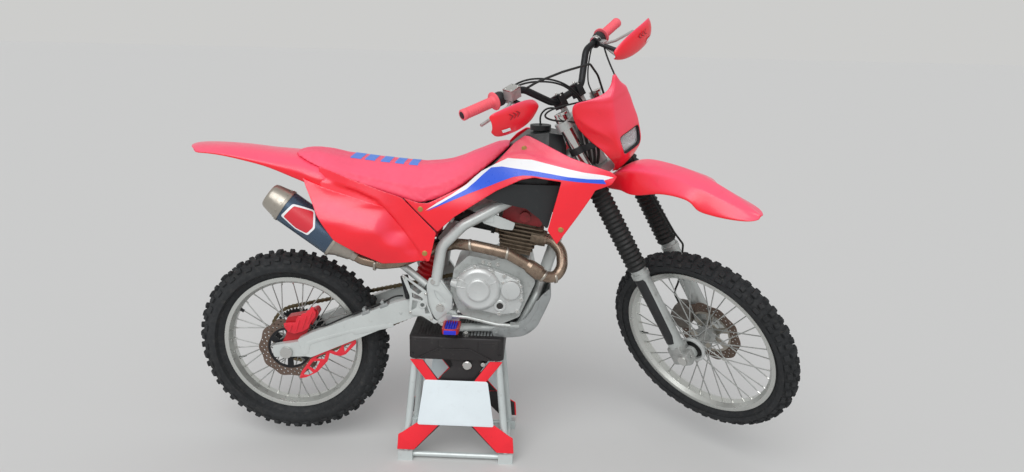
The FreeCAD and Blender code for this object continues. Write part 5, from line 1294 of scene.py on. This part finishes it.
# Discs
def disc_plate(radius, inner, wave, waves, holes):
    """Outline and holes of a waved disc, with rings of drillings on the rubbed band."""
    lines = [circle((0, 0), radius - wave, 160, wave, waves), circle((0, 0), inner, 48)]
    for ring, (share, count, hole) in enumerate(holes):
        middle = inner + share * (radius - inner)
        lines += [circle(polar(middle, a), hole, 8) for a in angles(count, 0.5 * (ring % 2))]
    return lines


# Rings of drillings: share of the way out, number of holes, radius of a hole
DISC_DRILLINGS = ((0.2, 24, 3.2), (0.45, 24, 3.2), (0.7, 24, 3.0))
# Columns: wheel, radius, thickness, axle, side, which way is out, bore, finish of the carrier
DISCS = (
    ("rear", 108, 4.5, REAR_AXLE, -66, -1, 23, "dark_steel"),
    ("front", 118, 3.5, FRONT_AXLE, 52, 1, 20, "steel_brushed"),
)


def make_discs():
    """Waved brake discs with drilled bands, on carriers with windows and bolts."""
    upright_disc = turned(90, "X") @ MILLI
    for name, radius, thick, axle, place, side, bore, finish in DISCS:
        middle = at(axle[0], place, axle[2])
        matrix = Matrix.Translation(middle) @ upright_disc
        inner = radius * 0.7
        band = moved(flat_plate(disc_plate(radius, inner, 3, 10, DISC_DRILLINGS), thick, 0.3), matrix)
        arms = [circle((0, 0), inner * 1.04, 96, 1.5, 12), circle((0, 0), bore, 40)]
        low, high = 42, inner - 8
        window = ((low, -0.3), (high, -0.36), (high + 1, 0), (high, 0.36), (low, 0.3))
        arms += [[polar(r, a + u) for r, u in window] for a in angles(6)]
        carrier = moved(flat_plate(arms, thick - 0.8, 0.3), matrix)
        for a in angles(6, 0.5):
            add_bolt(carrier, middle + spoke(32, a, side * thick / 2) / 1000, (0, side, 0), 4, 3.4, 0)
        piece(name + "_disc_band", band, "disc_steel", name + "_wheel", name + "_disc")
        piece(name + "_disc_carrier", carrier, finish, name + "_wheel", slot="disc_steel")


def rounded(corners, radius, count=4):
    """An outline with its corners rounded off."""
    points = []
    total = len(corners)
    for i, corner in enumerate(corners):
        here = Vector(corner)
        before = Vector(corners[i - 1]) - here
        after = Vector(corners[(i + 1) % total]) - here
        first = here + before.normalized() * min(radius, before.length * 0.45)
        last = here + after.normalized() * min(radius, after.length * 0.45)
        for step in range(count + 1):
            t = step / count
            points.append(tuple(first * (1 - t) ** 2 + here * 2 * t * (1 - t) + last * t * t))
    return points


# Screws in the panels
def make_screws():
    """Brass screws through the shrouds and panels, in small dished washers."""
    form = bmesh.new()
    profile = ((-2, 0), (-2, 8.5), (0.8, 8.5), (1.4, 7.5), (1.4, 5.2), (2.2, 4.6), (2.2, 2.0), (1.2, 1.8),
               (1.2, 0))
    for reach, height, depth in ((793, 1098, shroud_depth), (915, 858, shroud_depth),
                                 (484, 757, panel_depth), (470, 900, shroud_depth)):
        for side in BOTH:
            spot = at(reach, side * depth(reach, height), height)
            add_turned(form, profile, spot, (0, side, 0.1), 20)
    piece("panel_screws", form, "brass", angle=30, slot="bright_steel")


# Wheel fittings
def make_wheel_fittings():
    """Spoke nipples where each spoke meets the rim, valves and the rim locks."""
    for end, axle, rim in (("rear", REAR_AXLE, 243), ("front", FRONT_AXLE, 280)):
        middle = at(*axle)
        body = end + "_wheel"
        turn = STEER.inverted() if end == "front" else Matrix.Identity(4)
        tips = []
        for v in cad[end + "_hub"].data.vertices:
            place = turn @ v.co - middle
            if math.hypot(place.x, place.z) * 1000 > rim - 32:
                spot = next((tip for tip in tips if (tip[0] / tip[1] - place).length < 0.012), None)
                if spot:
                    spot[0] += place
                    spot[1] += 1
                else:
                    tips.append([place.copy(), 1])
        form = bmesh.new()
        for total, count in tips:
            tip = total / count
            out = Vector((tip.x, 0, tip.z)).normalized()
            seat = middle + Vector((0, tip.y, 0)) + out * (rim - 22) / 1000
            inner = seat - out * 0.013 - Vector((0, tip.y * 0.03, 0))
            add_rod(form, inner, seat, 2.4, 6, 3.6)
        piece(end + "_spoke_nipples", form, "bright_steel", body)
        valve = bmesh.new()
        for angle, tall, wide in ((200, 30, 3.2), (150, 18, 5.5)):
            out = spoke(1, math.radians(angle))
            foot = middle + out * (rim - 20) / 1000
            add_rod(valve, foot, middle + out * (rim - 20 - tall) / 1000, wide, 12)
            add_rod(valve, middle + out * (rim - 21) / 1000, middle + out * (rim - 26) / 1000, wide + 2.5, 6)
        piece(end + "_valve_and_lock", valve, "dark_steel", body)


# Front brake, hub and fork feet
CALIPER_SIDE = ((1283, 434), (1300, 427), (1338, 431), (1360, 462), (1367, 500), (1362, 524), (1338, 533),
                (1300, 526), (1282, 484))
CALIPER_BRIDGE = ((1282, 440), (1300, 430), (1306, 450), (1304, 480), (1312, 512), (1330, 530), (1300, 524),
                  (1283, 484))


# Columns: millimetres below the gaiter, first and last angle round the leg, radius
LEG_GUARD_ROWS = (
    (34, -72, 44, 27.2), (44, -72, 54, 27.2), (120, -70, 54, 27.2), (256, -66, 50, 27.0),
    (284, -60, 34, 27.0),
)


def fork_place(down, side):
    """A place on a fork leg's middle line, millimetres below its gaiter."""
    return at(1237 + RAKE_BACK * down, side * FORK_SIDE, 744 - RAKE_UP * down)


def make_front_fittings():
    """Two-part caliper, open cap and seal on the hub, guards down the fork legs and their square feet."""
    caliper = plate_at([rounded(CALIPER_SIDE, 9)], 68, 22, 3)
    plate_at([rounded(CALIPER_SIDE, 9)], 42.5, 11, 2, caliper)
    plate_at([rounded(CALIPER_BRIDGE, 4)], 52, 12, 0.5, caliper)
    for reach, height in ((1322, 458), (1326, 498)):
        add_turned(caliper, ((-2, 0), (-2, 15), (2, 15), (3, 13), (3, 0)), at(reach, 79, height), LEFT, 24)
    add_bolts(caliper, 78, ((1296, 440), (1298, 516), (1352, 520)), 4.5, 3)
    piece("front_caliper_body", caliper, "caliper_grey", FORK_BODY, "front_caliper", slot="red_alloy")
    hub_face = at(FRONT_AXLE[0], -48, FRONT_AXLE[2])
    turned_piece("front_hub_cap", "cover_alloy",
                 ((-8, 30), (-4, 42), (4, 45), (10, 45), (11, 43), (11, 37), (9, 35), (2, 33)),
                 hub_face, RIGHT, 48, "front_wheel", angle=30, slot="hub_alloy")
    turned_piece("front_hub_seal", "black_rubber",
                 ((1, 34), (2, 30), (5, 28), (3, 20), (3, 14), (10, 13.4), (11, 11), (11, 8)),
                 hub_face, RIGHT, 40, "front_wheel", angle=30)
    guards, feet = bmesh.new(), bmesh.new()
    for side in BOTH:
        rows = []
        for down, low, high, out in LEG_GUARD_ROWS:
            row = []
            for step in range(9):
                a = math.radians(low + (high - low) * step / 8)
                ahead = out * math.sin(a) / 1000
                beside_leg = side * out * math.cos(a) / 1000
                row.append(fork_place(down, side) + Vector((RAKE_UP * ahead, beside_leg, RAKE_BACK * ahead)))
            rows.append(row)
        merged(guards, outward(bridged(rows), fork_place(140, side)))
        turn = turned(-29, "Y")
        add_block(feet, fork_place(334, side), 54, 52, 68, turn, edge=7)
        add_block(feet, at(1430, side * 100, 456), 40, 40, 44, turn, edge=5)
        for height in (440, 468):
            add_bolt(feet, at(1449, side * 100, height), (RAKE_UP, 0, RAKE_BACK), 4, 4, 0)
    shield = piece("fork_leg_guards", guards, "black_plastic", FORK_BODY, angle=60)
    thicken(shield, 0.0012)
    piece("fork_feet", feet, "hub_alloy", FORK_BODY)


# Rear brake and swingarm
CALIPER_GUARD = (
    (-8, 474), (14, 478), (33, 478), (36, 492), (43, 501), (52, 502), (56, 511), (70, 514), (74, 522),
    (84, 526), (90, 537), (101, 533), (99, 526), (105, 519), (102, 502), (88, 484), (75, 459), (55, 446),
    (26, 437), (6, 444), (-6, 459),
)
DISC_GUARD = (
    (38, 279), (47, 301), (81, 349), (104, 368), (148, 391), (200, 414), (238, 425), (239, 411), (202, 370),
    (184, 363), (167, 365), (147, 373), (138, 342), (101, 300), (60, 278), (41, 274),
)
DISC_GUARD_HOLES = (
    ((52, 289), (68, 313), (86, 297), (70, 287)), ((74, 320), (88, 339), (112, 342), (93, 307)),
    ((96, 350), (112, 362), (134, 372), (126, 348)), ((150, 384), (190, 402), (170, 376)),
    ((196, 402), (224, 414), (198, 379)),
)
CHAIN_GUIDE = ((150, 410), (250, 437), (240, 400), (180, 354), (146, 354))
GUIDE_WINDOW = ((172, 372), (182, 402), (226, 414), (222, 398), (190, 372))
GUARD_RIBS = (((12, 446), (20, 470)), ((34, 448), (46, 488)), ((56, 458), (72, 504)), ((76, 478), (92, 520)))


def make_brake_guards():
    """Finned cover over the rear caliper, the disc guard with its cut-outs and the chain guide."""
    cover = plate_at([rounded(CALIPER_GUARD, 2)], -91, 7, 1.5)
    for low, high in GUARD_RIBS:
        add_rib(cover, low, high, -96)
    add_bolts(cover, -94, ((0, 464), (64, 470), (93, 512)), 3.4, 3)
    piece("rear_caliper_cover", cover, "guard_red", slot="red_alloy")
    fin = plate_at([rounded(DISC_GUARD, 3)] + [rounded(hole, 3) for hole in DISC_GUARD_HOLES], -95, 4, 0.8)
    add_bolts(fin, -97, ((150, 391), (228, 418), (47, 284)), 3.6, 3)
    plate_at([rounded(CHAIN_GUIDE, 5), rounded(GUIDE_WINDOW, 4)], 75.1, 3, 0.6, fin)
    piece("swingarm_guard_plates", fin, "guard_red", hides="swingarm_guards", slot="red_alloy")


ARM_PANEL = ((76, 372), (84, 404), (100, 412), (228, 455), (238, 446), (372, 480), (366, 494), (245, 470),
             (96, 424), (66, 412), (58, 366))


def make_arm_details():
    """Raised pressings on the arm, and the rear brake hose with its clips."""
    form = bmesh.new()
    for side in BOTH:
        plate_at([rounded(ARM_PANEL, 4)], side * 105.2, 1.6, 0.5, form)
        add_bolt(form, at(395, side * 104.6, 530), (0, side, 0), 4, 2.6, 0)
    piece("swingarm_pressings", form, "frame_paint")
    pads = bmesh.new()
    slope = Matrix.Rotation(-math.atan2(47, 105), 4, "Y")
    for reach, height in ((276, 527), (338, 554)):
        add_block(pads, at(reach, -91, height), 30, 30, 12, slope, 2)
        add_block(pads, at(reach - 6, -91, height + 9), 12, 22, 12, slope, 2)
    piece("swingarm_hose_clips", pads, "skid_grey")
    hose = bmesh.new()
    route = ((58, -84, 506), (72, -92, 470), (120, -92, 462), (190, -92, 498), (276, -92, 536),
             (338, -92, 563), (378, -96, 590), (402, -104, 592))
    add_hose(hose, route, 3)
    piece("rear_brake_hose", hose, "black_rubber", angle=180)


# Frame
PIVOT_SKIN = (
    (493, 664), (520, 663), (534, 645), (569, 600), (566, 554), (537, 530), (517, 516), (505, 536),
    (487, 599), (484, 634),
)
PIVOT_HOLE = ((509, 621), (519, 616), (546, 587), (543, 577), (533, 577), (516, 596))
HEEL_PLATE = (
    (404, 676), (485, 618), (489, 572), (507, 522), (525, 512), (510, 504), (470, 530), (437, 534),
    (424, 540), (429, 600), (406, 660),
)
HEEL_EYE = (471, 570)
HEEL_HOLES = (
    ((421, 656), (470, 617), (458, 606), (432, 626)),
    ((436, 612), (462, 600), (474, 590), (470, 584), (438, 594)),
    ((438, 586), (456, 582), (450, 560), (434, 548)), ((484, 572), (495, 540), (480, 540), (478, 562)),
)


def make_frame_skins():
    """Pivot plates with their recess, heel plates with cut-outs, and the pivot bolts."""
    skin, heels, bolts = bmesh.new(), bmesh.new(), bmesh.new()
    for side in BOTH:
        plate_at([rounded(PIVOT_SKIN, 6), rounded(PIVOT_HOLE, 3)], side * 119.4, 3, 1, skin)
        holes = [rounded(hole, 3) for hole in HEEL_HOLES]
        eye = circle(HEEL_EYE, 7, 20)
        plate_at([rounded(HEEL_PLATE, 5)] + holes + [eye], side * 123.5, 4, 1, heels)
        plate_at([circle(HEEL_EYE, 13, 32), eye], side * 125.5, 3, 1, heels)
        for reach, height, radius in ((507, 650, 8), (535, 505, 6), (529, 560, 11)):
            add_bolt(bolts, at(reach, side * 120.8, height), (0, side, 0), radius, 5)
        add_bolts(bolts, side * 125.4, ((410, 664), (482, 608), (500, 522), (430, 542)), 4, 3.5)
        add_rod(bolts, at(612, side * 76, 460), at(612, side * 94, 460), 9, 16)
        add_rod(bolts, at(612, side * 92, 460), at(612, side * 98, 460), 6, 6)
    piece("pivot_plate_skins", skin, "frame_paint")
    piece("heel_plates", heels, "frame_paint", hides="heel_guards")
    piece("frame_bolts", bolts, "bright_steel", angle=30)


# Engine
RIGHT_COVER = (
    (585, 668), (606, 694), (640, 714), (700, 702), (744, 686), (790, 666), (801, 630), (803, 600),
    (790, 556), (728, 544), (654, 560), (596, 592),
)
OIL_WINDOW = at(727, -128, 578)
CLUTCH = at(656, -128, 634)
FILTER_CAP = at(762, -128, 636)
LEFT_DOME = at(752, 92.3, 630)
FILTER_BOLTS = [math.radians(degrees) for degrees in (20, 140, 260)]


def cover_bosses():
    """Places a little inside each corner of the right cover's edge."""
    places = []
    for corner in RIGHT_COVER:
        corner = Vector(corner)
        places.append(corner + (Vector((692, 625)) - corner).normalized() * 7)
    return places


def make_engine_covers():
    """Right cover with the clutch bell, its boss, filter cap and oil window; left cover with its dome."""
    covers = plate_at([rounded(RIGHT_COVER, 16, 6)], -115, 29.4, 6)
    boss = ((-3, 0), (-3, 8.5), (3, 8), (4.2, 7), (4.2, 0))
    for spot in cover_bosses():
        add_turned(covers, boss, at(spot.x, -128, spot.y), RIGHT, 16)
    add_turned(covers, ((-4, 0), (-4, 75), (4, 74), (9, 71), (13, 66), (16, 62), (16.6, 58), (15.6, 55),
                        (16.4, 41), (19, 39.5), (19, 0)), CLUTCH, RIGHT, 96)
    add_turned(covers, ((18, 0), (18, 38), (22.5, 37), (24.6, 34), (24.9, 31), (24.2, 29), (24.2, 0)),
               CLUTCH, RIGHT, 64)
    add_turned(covers, ((-4, 0), (-4, 38), (5, 37), (6, 33), (14, 32.4), (17, 30), (18, 26), (18, 0)),
               FILTER_CAP, RIGHT, 48)
    for a in FILTER_BOLTS:
        place = FILTER_CAP + spoke(0.034, a)
        add_turned(covers, ((-3, 0), (-3, 6.5), (6, 6.2), (7, 5.4), (7, 0)), place, RIGHT, 14)
    for degrees, long in ((150, 48), (172, 46), (52, 30), (28, 34)):
        a = math.radians(degrees)
        rib = CLUTCH + spoke(1, a) * 0.056 + Vector((0, -0.0145, 0))
        add_block(covers, rib, long * 0.7, 5, 5, Matrix.Rotation(-a, 4, "Y"), 2)
    add_rod(covers, at(566, -112, 648), at(606, -122, 640), 13, 20, 20)
    add_turned(covers, ((-2, 11), (-2, 21), (4, 20.5), (6, 18), (6, 12.5), (4.5, 11)), OIL_WINDOW, RIGHT, 40)
    add_turned(covers, ((0, 0), (0, 66), (28, 64), (34, 60), (36, 55), (36.5, 48), (42, 44), (43.7, 38),
                        (43.7, 0)), LEFT_DOME, LEFT, 72)
    for a in angles(7):
        place = LEFT_DOME + spoke(0.062, a)
        add_turned(covers, ((0, 0), (0, 9), (28, 8.5), (29, 7.5), (29, 0)), place, LEFT, 14)
    piece("engine_cover_castings", covers, "cover_alloy", hides="engine_covers", angle=35, slot="case_alloy")
    bolts = bmesh.new()
    for spot in cover_bosses():
        add_bolt(bolts, at(spot.x, -132, spot.y), RIGHT, 4.2, 4.5)
    for a in FILTER_BOLTS:
        add_bolt(bolts, FILTER_CAP + spoke(0.034, a, -0.0068), RIGHT, 3.8, 4)
    for a in angles(7):
        add_bolt(bolts, LEFT_DOME + spoke(0.062, a, 0.0288), LEFT, 4.2, 4.5)
    add_bolts(bolts, -100, ((668, 716), (690, 710), (716, 710)), 5, 6, 6)
    piece("engine_bolts", bolts, "bright_steel", angle=30)
    turned_piece("oil_window", "oil_glass", ((0, 0), (0, 12), (3.4, 12), (4.4, 9), (4.8, 0)), OIL_WINDOW,
                 RIGHT, 32, angle=60, slot="lens")


# Columns: place, direction of the pipe there, radius of the band
HEADER_BANDS = (
    ((747, -122, 756), (73, 0, -12), 20.2), ((628, -116, 778), (62, -6, 10), 20.2),
    ((318, -126, 707), (53, 0, -6.5), 21.5), ((866, -124, 684), (46, 0, -34), 21.5),
    ((904, -111, 677), (38, 12, 6), 20.2),
)


def make_header_bands():
    """Welded bands and clamps round the exhaust, and the strap that holds the muffler."""
    form = bmesh.new()
    for spot, run, radius in HEADER_BANDS:
        add_turned(form, ((-4, radius - 3), (-4, radius - 0.6), (-3, radius), (3, radius), (4, radius - 0.6),
                          (4, radius - 3)), at(*spot), run, 40)
    piece("header_bands", form, "steel_brushed", angle=35, slot="header_steel")
    strap = bmesh.new()
    plate_at([rounded(((286, 712), (300, 712), (330, 800), (318, 812), (306, 800)), 4)], -96, 5, 1, strap)
    add_bolt(strap, at(292, -99, 722), RIGHT, 5)
    add_rod(strap, at(318, -98, 802), at(318, -60, 802), 5, 12)
    piece("muffler_strap", strap, "dark_steel", angle=35)


# Footpegs
def make_pegs():
    """Wide footpegs: red frames with blue toothed inserts."""
    frame_form, teeth = bmesh.new(), bmesh.new()
    for side in BOTH:
        outline = rounded(((541, 0), (599, 0), (597, 78), (586, 84), (554, 84), (543, 78)), 10, 5)
        inner = rounded(((549, 8), (591, 8), (589, 72), (582, 77), (558, 77), (551, 72)), 8, 5)
        made = flat_plate([outline, inner], 18, 1.5)
        if side < 0:
            bmesh.ops.scale(made, vec=(1, -1, 1), verts=made.verts[:])
            bmesh.ops.reverse_faces(made, faces=made.faces[:])
        merged(frame_form, moved(made, Matrix.Translation(at(0, side * 116, 507)) @ MILLI))
        add_block(teeth, at(570, side * 158, 503), 42, 68, 8, edge=1)
        for row in range(5):
            for column in range(7):
                spot = Matrix.Translation(at(554 + row * 8, side * (128 + column * 10), 513))
                bmesh.ops.create_cone(teeth, cap_ends=True, segments=4, radius1=0.0046, radius2=0.0012,
                                      depth=0.013, matrix=spot @ turned(45, "Z"))
        add_block(teeth, at(570, side * 200.5, 506), 40, 3, 14, edge=1)
    piece("footpeg_frames", frame_form, "red_alloy", hides="footpegs")
    piece("footpeg_teeth", teeth, "blue_alloy", angle=35, slot="red_alloy")


# Handlebar
CLAMP_TOP = (-0.48, 0, 0.87)


def grip_end(side, along):
    """A place on the bar's straight outer part, millimetres out from the grip's inner end."""
    start, end = Vector((869, side * 268, 1342)), Vector((850, side * 388, 1345))
    return at(*(start + (end - start).normalized() * along))


def make_bar_fittings():
    """Switch housings, ribbed grips, reservoir lid, and the bolts of the perches and clamps."""
    black, metal, grips = bmesh.new(), bmesh.new(), bmesh.new()
    for side in BOTH:
        inner = grip_end(side, 0)
        run = grip_end(side, 10) - inner
        add_turned(black, ((-30, 11), (-30, 17), (-28, 20), (-22, 22), (-6, 22), (-3, 20), (-1, 12)), inner,
                   run, 28)
        add_block(black, grip_end(side, -16) + Vector((-0.012, 0, -0.016)), 26, 22, 22, edge=4)
        add_turned(metal, ((-46, 11.2), (-46, 17), (-44, 18.6), (-34, 18.6), (-32, 17), (-32, 11.2)), inner,
                   run, 24)
        add_bolt(metal, grip_end(side, -39) + Vector((0.004, 0, 0.018)), (0.2, 0, 1), 3.4, 4, 0)
        profile = [(0, 11.3), (0, 27), (1.5, 28.2), (4, 28.2), (5.5, 27), (6.5, 19), (9, 17.2)]
        for ring in range(12):
            profile += [(13 + ring * 8, 16.4), (14 + ring * 8, 15.2), (18 + ring * 8, 15.2),
                        (19 + ring * 8, 16.4)]
        profile += [(112, 17), (121, 17.2), (123, 15.5), (123.5, 11.3)]
        add_turned(grips, profile, inner, run, 40)
        add_turned(black, ((118, 0), (118, 11), (124.2, 10.4), (125, 8), (124, 0)), inner, run, 24)
    perch = grip_end(-1, -34)
    add_block(metal, perch + Vector((0.034, 0.004, 0.0355)), 36, 42, 5)
    for reach, out in ((-12, -14), (12, 14), (-12, 14), (12, -14)):
        corner = Vector((0.034 + reach / 1000, 0.004 + out / 1000, 0.038))
        add_bolt(metal, perch + corner, (0, 0, 1), 2.6, 2, 0)
    for side in BOTH:
        for along in (-9, 9):
            spot = at(928 + along * 0.87, side * 45, 1276)
            add_bolt(metal, spot + Vector((0, 0, 0.001)), CLAMP_TOP, 4, 6, 0)
        add_turned(metal, ((-2, 0), (-2, 17), (4, 17), (6, 15), (6, 0)), at(977, side * FORK_SIDE, 1243),
                   CLAMP_TOP, 24)
    piece("switch_housings", black, "black_plastic", FORK_BODY, angle=35)
    piece("bar_hardware", metal, "bright_steel", FORK_BODY, angle=35)
    piece("ribbed_grips", grips, "grip_rubber", FORK_BODY, "grips", angle=50)


def make_cables():
    """Throttle and clutch cables looping ahead of the bar, and the tank's breather and cap."""
    form = bmesh.new()
    for out, high in ((0, 0), (9, 7)):
        add_hose(form, ((876, -246 + out, 1350), (892, -222 + out, 1366 + high),
                        (930, -170 + out, 1378 + high), (980, -90, 1350 + high), (1010, -46 + out, 1290),
                        (1012, -30 + out, 1225), (990, -24 + out, 1180)), 3)
    add_hose(form, ((905, 232, 1336), (930, 210, 1310), (985, 190, 1240), (1030, 150, 1222),
                    (1040, 60, 1248), (1020, -60, 1280), (985, -150, 1290), (965, -170, 1268),
                    (975, -130, 1236), (1020, -70, 1218), (1040, -50, 1190)), 3)
    add_hose(form, ((872, 214, 1334), (900, 150, 1300), (936, 96, 1262), (975, 60, 1262), (1010, 40, 1236),
                    (1020, 36, 1200)), 2.5)
    for out, ahead in ((-82, 0), (-72, 10), (-62, 22), (-50, 30), (36, 20)):
        add_hose(form, ((1006 + ahead, out * 0.7, 1250), (1022 + ahead, out * 0.9, 1210),
                        (1038 + ahead, out, 1160), (1050 + ahead, out, 1110),
                        (1050 + ahead / 2, out * 0.9, 1070)), 5)
    piece("bar_cables", form, "black_rubber", FORK_BODY, angle=180)
    pipe = bmesh.new()
    add_hose(pipe, ((842, 0, 1156), (838, 0, 1178), (846, -2, 1200), (866, -2, 1214), (884, 0, 1212)), 3)
    add_rod(pipe, at(842, 0, 1150), at(842, 0, 1162), 5, 12)
    piece("tank_breather", pipe, "black_rubber", angle=180)
    knurl = flat_plate([circle((0, 0), 31, 72, 1.2, 18)], 14, 1.5)
    cap = moved(knurl, Matrix.Translation(at(842, 0, 1149)) @ MILLI)
    piece("tank_cap_knurled", cap, "tank_plastic", angle=35)


def guard_spot(side, out, share, lift):
    """A place on a hand guard's face, millimetres out and as a share of its height there."""
    return guard_place((out, *table_row(GUARD_ROWS, out)), side, share, lift)


def make_guard_marks():
    """Three moulded chevrons and a plain white dash on each hand guard."""
    dark, pale = bmesh.new(), bmesh.new()
    for side in BOTH:
        for number in range(3):
            tip = 300 + number * 15
            for low, high in ((0.68, 0.58), (0.68, 0.78)):
                rows = []
                for step in range(4):
                    t = step / 3
                    share = low + (high - low) * t
                    out = tip + 12 * t
                    rows.append([guard_spot(side, out, share, 0.8), guard_spot(side, out + 5, share, 0.8)])
                merged(dark, guard_sheet(rows, side))
        rows = [[guard_spot(side, 345 + step * 6, 0.2, 0.6), guard_spot(side, 350 + step * 6, 0.32, 0.6)]
                for step in range(6)]
        merged(pale, guard_sheet(rows, side))
    piece("hand_guard_chevrons", dark, "mark_dark_red", FORK_BODY, angle=180, slot="red_plastic")
    piece("hand_guard_dashes", pale, "stripe_white", FORK_BODY, angle=180, slot="red_plastic")


# Skid plate
SKID_LINE = ((892, 634), (895, 602), (884, 570), (852, 496), (826, 470), (800, 457), (756, 451.5),
             (600, 451.5))
CHEEK_LINE = ((890, 632), (893, 602), (850, 497), (800, 459), (756, 453), (704, 455), (700, 484), (760, 494),
              (812, 524), (862, 606))
CHEEK_RIB = (
    (742, 470), (780, 478), (826, 512), (852, 562), (858, 590), (846, 588), (818, 526), (776, 492),
    (742, 486),
)


def make_skid_plate():
    """Bent skid plate with cheeks, pressed ribs and bolts."""
    form = bmesh.new()
    rows = [[at(reach, y, height) for y in (-94, -60, -30, 0, 30, 60, 94)]
            for reach, height in rounded_run(SKID_LINE, 14)]
    sheet = outward(bridged(rows), at(700, 0, 620))
    thicken(piece("skid_plate_sheet", sheet, "skid_grey", hides="skid_plate", angle=50), SHELL_WALL)
    for side in BOTH:
        plate_at([rounded(CHEEK_LINE, 8)], side * 95, 4, 1, form)
        plate_at([rounded(CHEEK_RIB, 5)], side * 97.4, 2, 0.9, form)
        add_bolts(form, side * 97, ((876, 612), (716, 468), (812, 486)), 4.4, 3.5)
    piece("skid_plate_cheeks", form, "skid_grey")


def rounded_run(line, radius, count=4):
    """An open bent line with its inner corners rounded off."""
    points = [line[0]]
    for before, here, after in zip(line, line[1:], line[2:]):
        here = Vector(here)
        back = Vector(before) - here
        ahead = Vector(after) - here
        first = here + back.normalized() * min(radius, back.length * 0.45)
        last = here + ahead.normalized() * min(radius, ahead.length * 0.45)
        for step in range(count + 1):
            t = step / count
            points.append(tuple(first.lerp(here, t).lerp(here.lerp(last, t), t)))
    return points + [line[-1]]


# Stand
DECK_MIDDLE = 582
BRACE_ARMS = (
    ((425, 371), (468, 371), (566, 234), (588, 215), (600, 190), (560, 190)),
    ((739, 371), (696, 371), (598, 234), (576, 215), (564, 190), (604, 190)),
    ((452, 140), (530, 140), (600, 236), (560, 240), (532, 236)),
    ((712, 140), (634, 140), (564, 236), (604, 240), (632, 236)),
    ((380, 40), (438, 40), (530, 142), (450, 142), (398, 104), (384, 96)),
    ((784, 40), (726, 40), (634, 142), (714, 142), (766, 104), (780, 96)),
)
PANEL_FIELD = ((474, 300), (690, 300), (714, 136), (450, 136))
LOCK_PLATE = ((560, 376), (694, 376), (655, 318), (632, 290), (532, 290), (530, 310), (570, 348))


def leg_lean(height):
    """How far the stand's legs have come in towards the middle at a height."""
    return 0.0636 * (height - 34)


def leaned_plate(outlines, side, out, thick, edge, form):
    """Adds an upright plate and leans it with the legs."""
    made = plate_at(outlines, 0, thick, edge)
    for v in made.verts:
        v.co.y += side * (out - leg_lean(v.co.z * 1000)) / 1000
    return merged(form, made)


def make_stand_sides():
    """Crossed red braces with dark edging, the plain white panels and the lock's plate with its knobs."""
    red, dark, white, metal = bmesh.new(), bmesh.new(), bmesh.new(), bmesh.new()
    for side in BOTH:
        for arm in BRACE_ARMS:
            leaned_plate([rounded(arm, 3)], side, 137, 2.6, 0.6, red)
            middle = Vector((DECK_MIDDLE, sum(p[1] for p in arm) / len(arm)))
            grown = [tuple(Vector(p) + (Vector(p) - middle).normalized() * -5) for p in arm]
            leaned_plate([rounded(grown, 3)], side, 135.4, 2.2, 0.4, dark)
        leaned_plate([rounded(PANEL_FIELD, 9, 5)], side, 140.2, 2.4, 0.8, white)
        leaned_plate([rounded(LOCK_PLATE, 6)], side, 128, 4, 1, dark)
        for reach, height, radius in ((619, 354, 16), (673, 361, 9)):
            spot = at(reach, side * (130 - leg_lean(height)), height)
            add_turned(metal, ((0, 0), (0, radius * 0.8), (3, radius), (9, radius), (12, radius * 0.8),
                               (12.5, radius * 0.5), (11, 0)), spot, (0, side, 0), 36)
    piece("stand_brace_plates", red, "stand_red", hides="stand_braces")
    piece("stand_brace_edging", dark, "deck_plastic")
    piece("stand_side_panels", white, "white_panel", hides="stand_panels")
    piece("stand_lock_knobs", metal, "bright_steel", angle=35)


# Stand deck
DECK_ARCH = ((455, 378), (519, 413), (627, 415), (700, 378))


def make_stand_deck():
    """Moulded deck of the stand: rounded tub, ribbed mat on top, ribs and rails on its sides."""
    form = bmesh.new()
    new = bmesh.ops.create_cube(form, size=1)["verts"]
    bmesh.ops.scale(form, vec=(0.32, 0.24, 0.08), verts=new)
    bmesh.ops.translate(form, vec=at(DECK_MIDDLE, 0, 415), verts=new)
    bottom = [f for f in form.faces if f.normal.z < -0.5]
    bmesh.ops.delete(form, geom=bottom, context="FACES_ONLY")
    corners = [e for e in form.edges if abs((e.verts[0].co - e.verts[1].co).z) > 0.01]
    soften(form, corners, 0.022, 5)
    rim = [e for e in form.edges if all(v.co.z > 0.454 for v in e.verts) and len(e.link_faces) == 2]
    soften(form, rim, 0.006, 3)
    thicken(piece("stand_deck_tub", form, "deck_plastic", hides="stand_deck"), SHELL_WALL)
    ribs = bmesh.new()
    for side in BOTH:
        for low, high in zip(DECK_ARCH, DECK_ARCH[1:]):
            add_rib(ribs, low, high, side * 120.5, 3)
        for reach, wide in ((466, 44), (690, 50)):
            add_block(ribs, at(reach, side * 119.6, 438), wide, 3, 5, edge=1.4)
            add_block(ribs, at(reach, side * 119.6, 447), wide, 3, 3, edge=1.2)
        for reach in (520, 656, 722):
            add_block(ribs, at(reach, side * 119.8, 424), 4, 4, 44)
        for reach in (434, 730):
            add_rod(ribs, at(reach, side * 114, 392), at(reach, side * 121.5, 392), 4, 12)
    for along in range(-12, 13):
        add_block(ribs, at(DECK_MIDDLE + along * 11, 0, 455.2), 4, 200, 2.2, edge=0.8)
    piece("stand_deck_ribs", ribs, "deck_plastic")


make_panels()
make_fenders()
make_cowl()
make_hand_guards()
make_cowl_stays()
make_tyres()
seat_cushion = make_seat()
make_seat_blocks(seat_cushion)
make_stripes()
make_screws()
make_muffler()
make_chain()
make_discs()
make_wheel_fittings()
make_front_fittings()
make_brake_guards()
make_arm_details()
make_frame_skins()
make_engine_covers()
make_pegs()
make_header_bands()
make_bar_fittings()
make_cables()
make_guard_marks()
make_skid_plate()
make_stand_deck()
make_stand_sides()
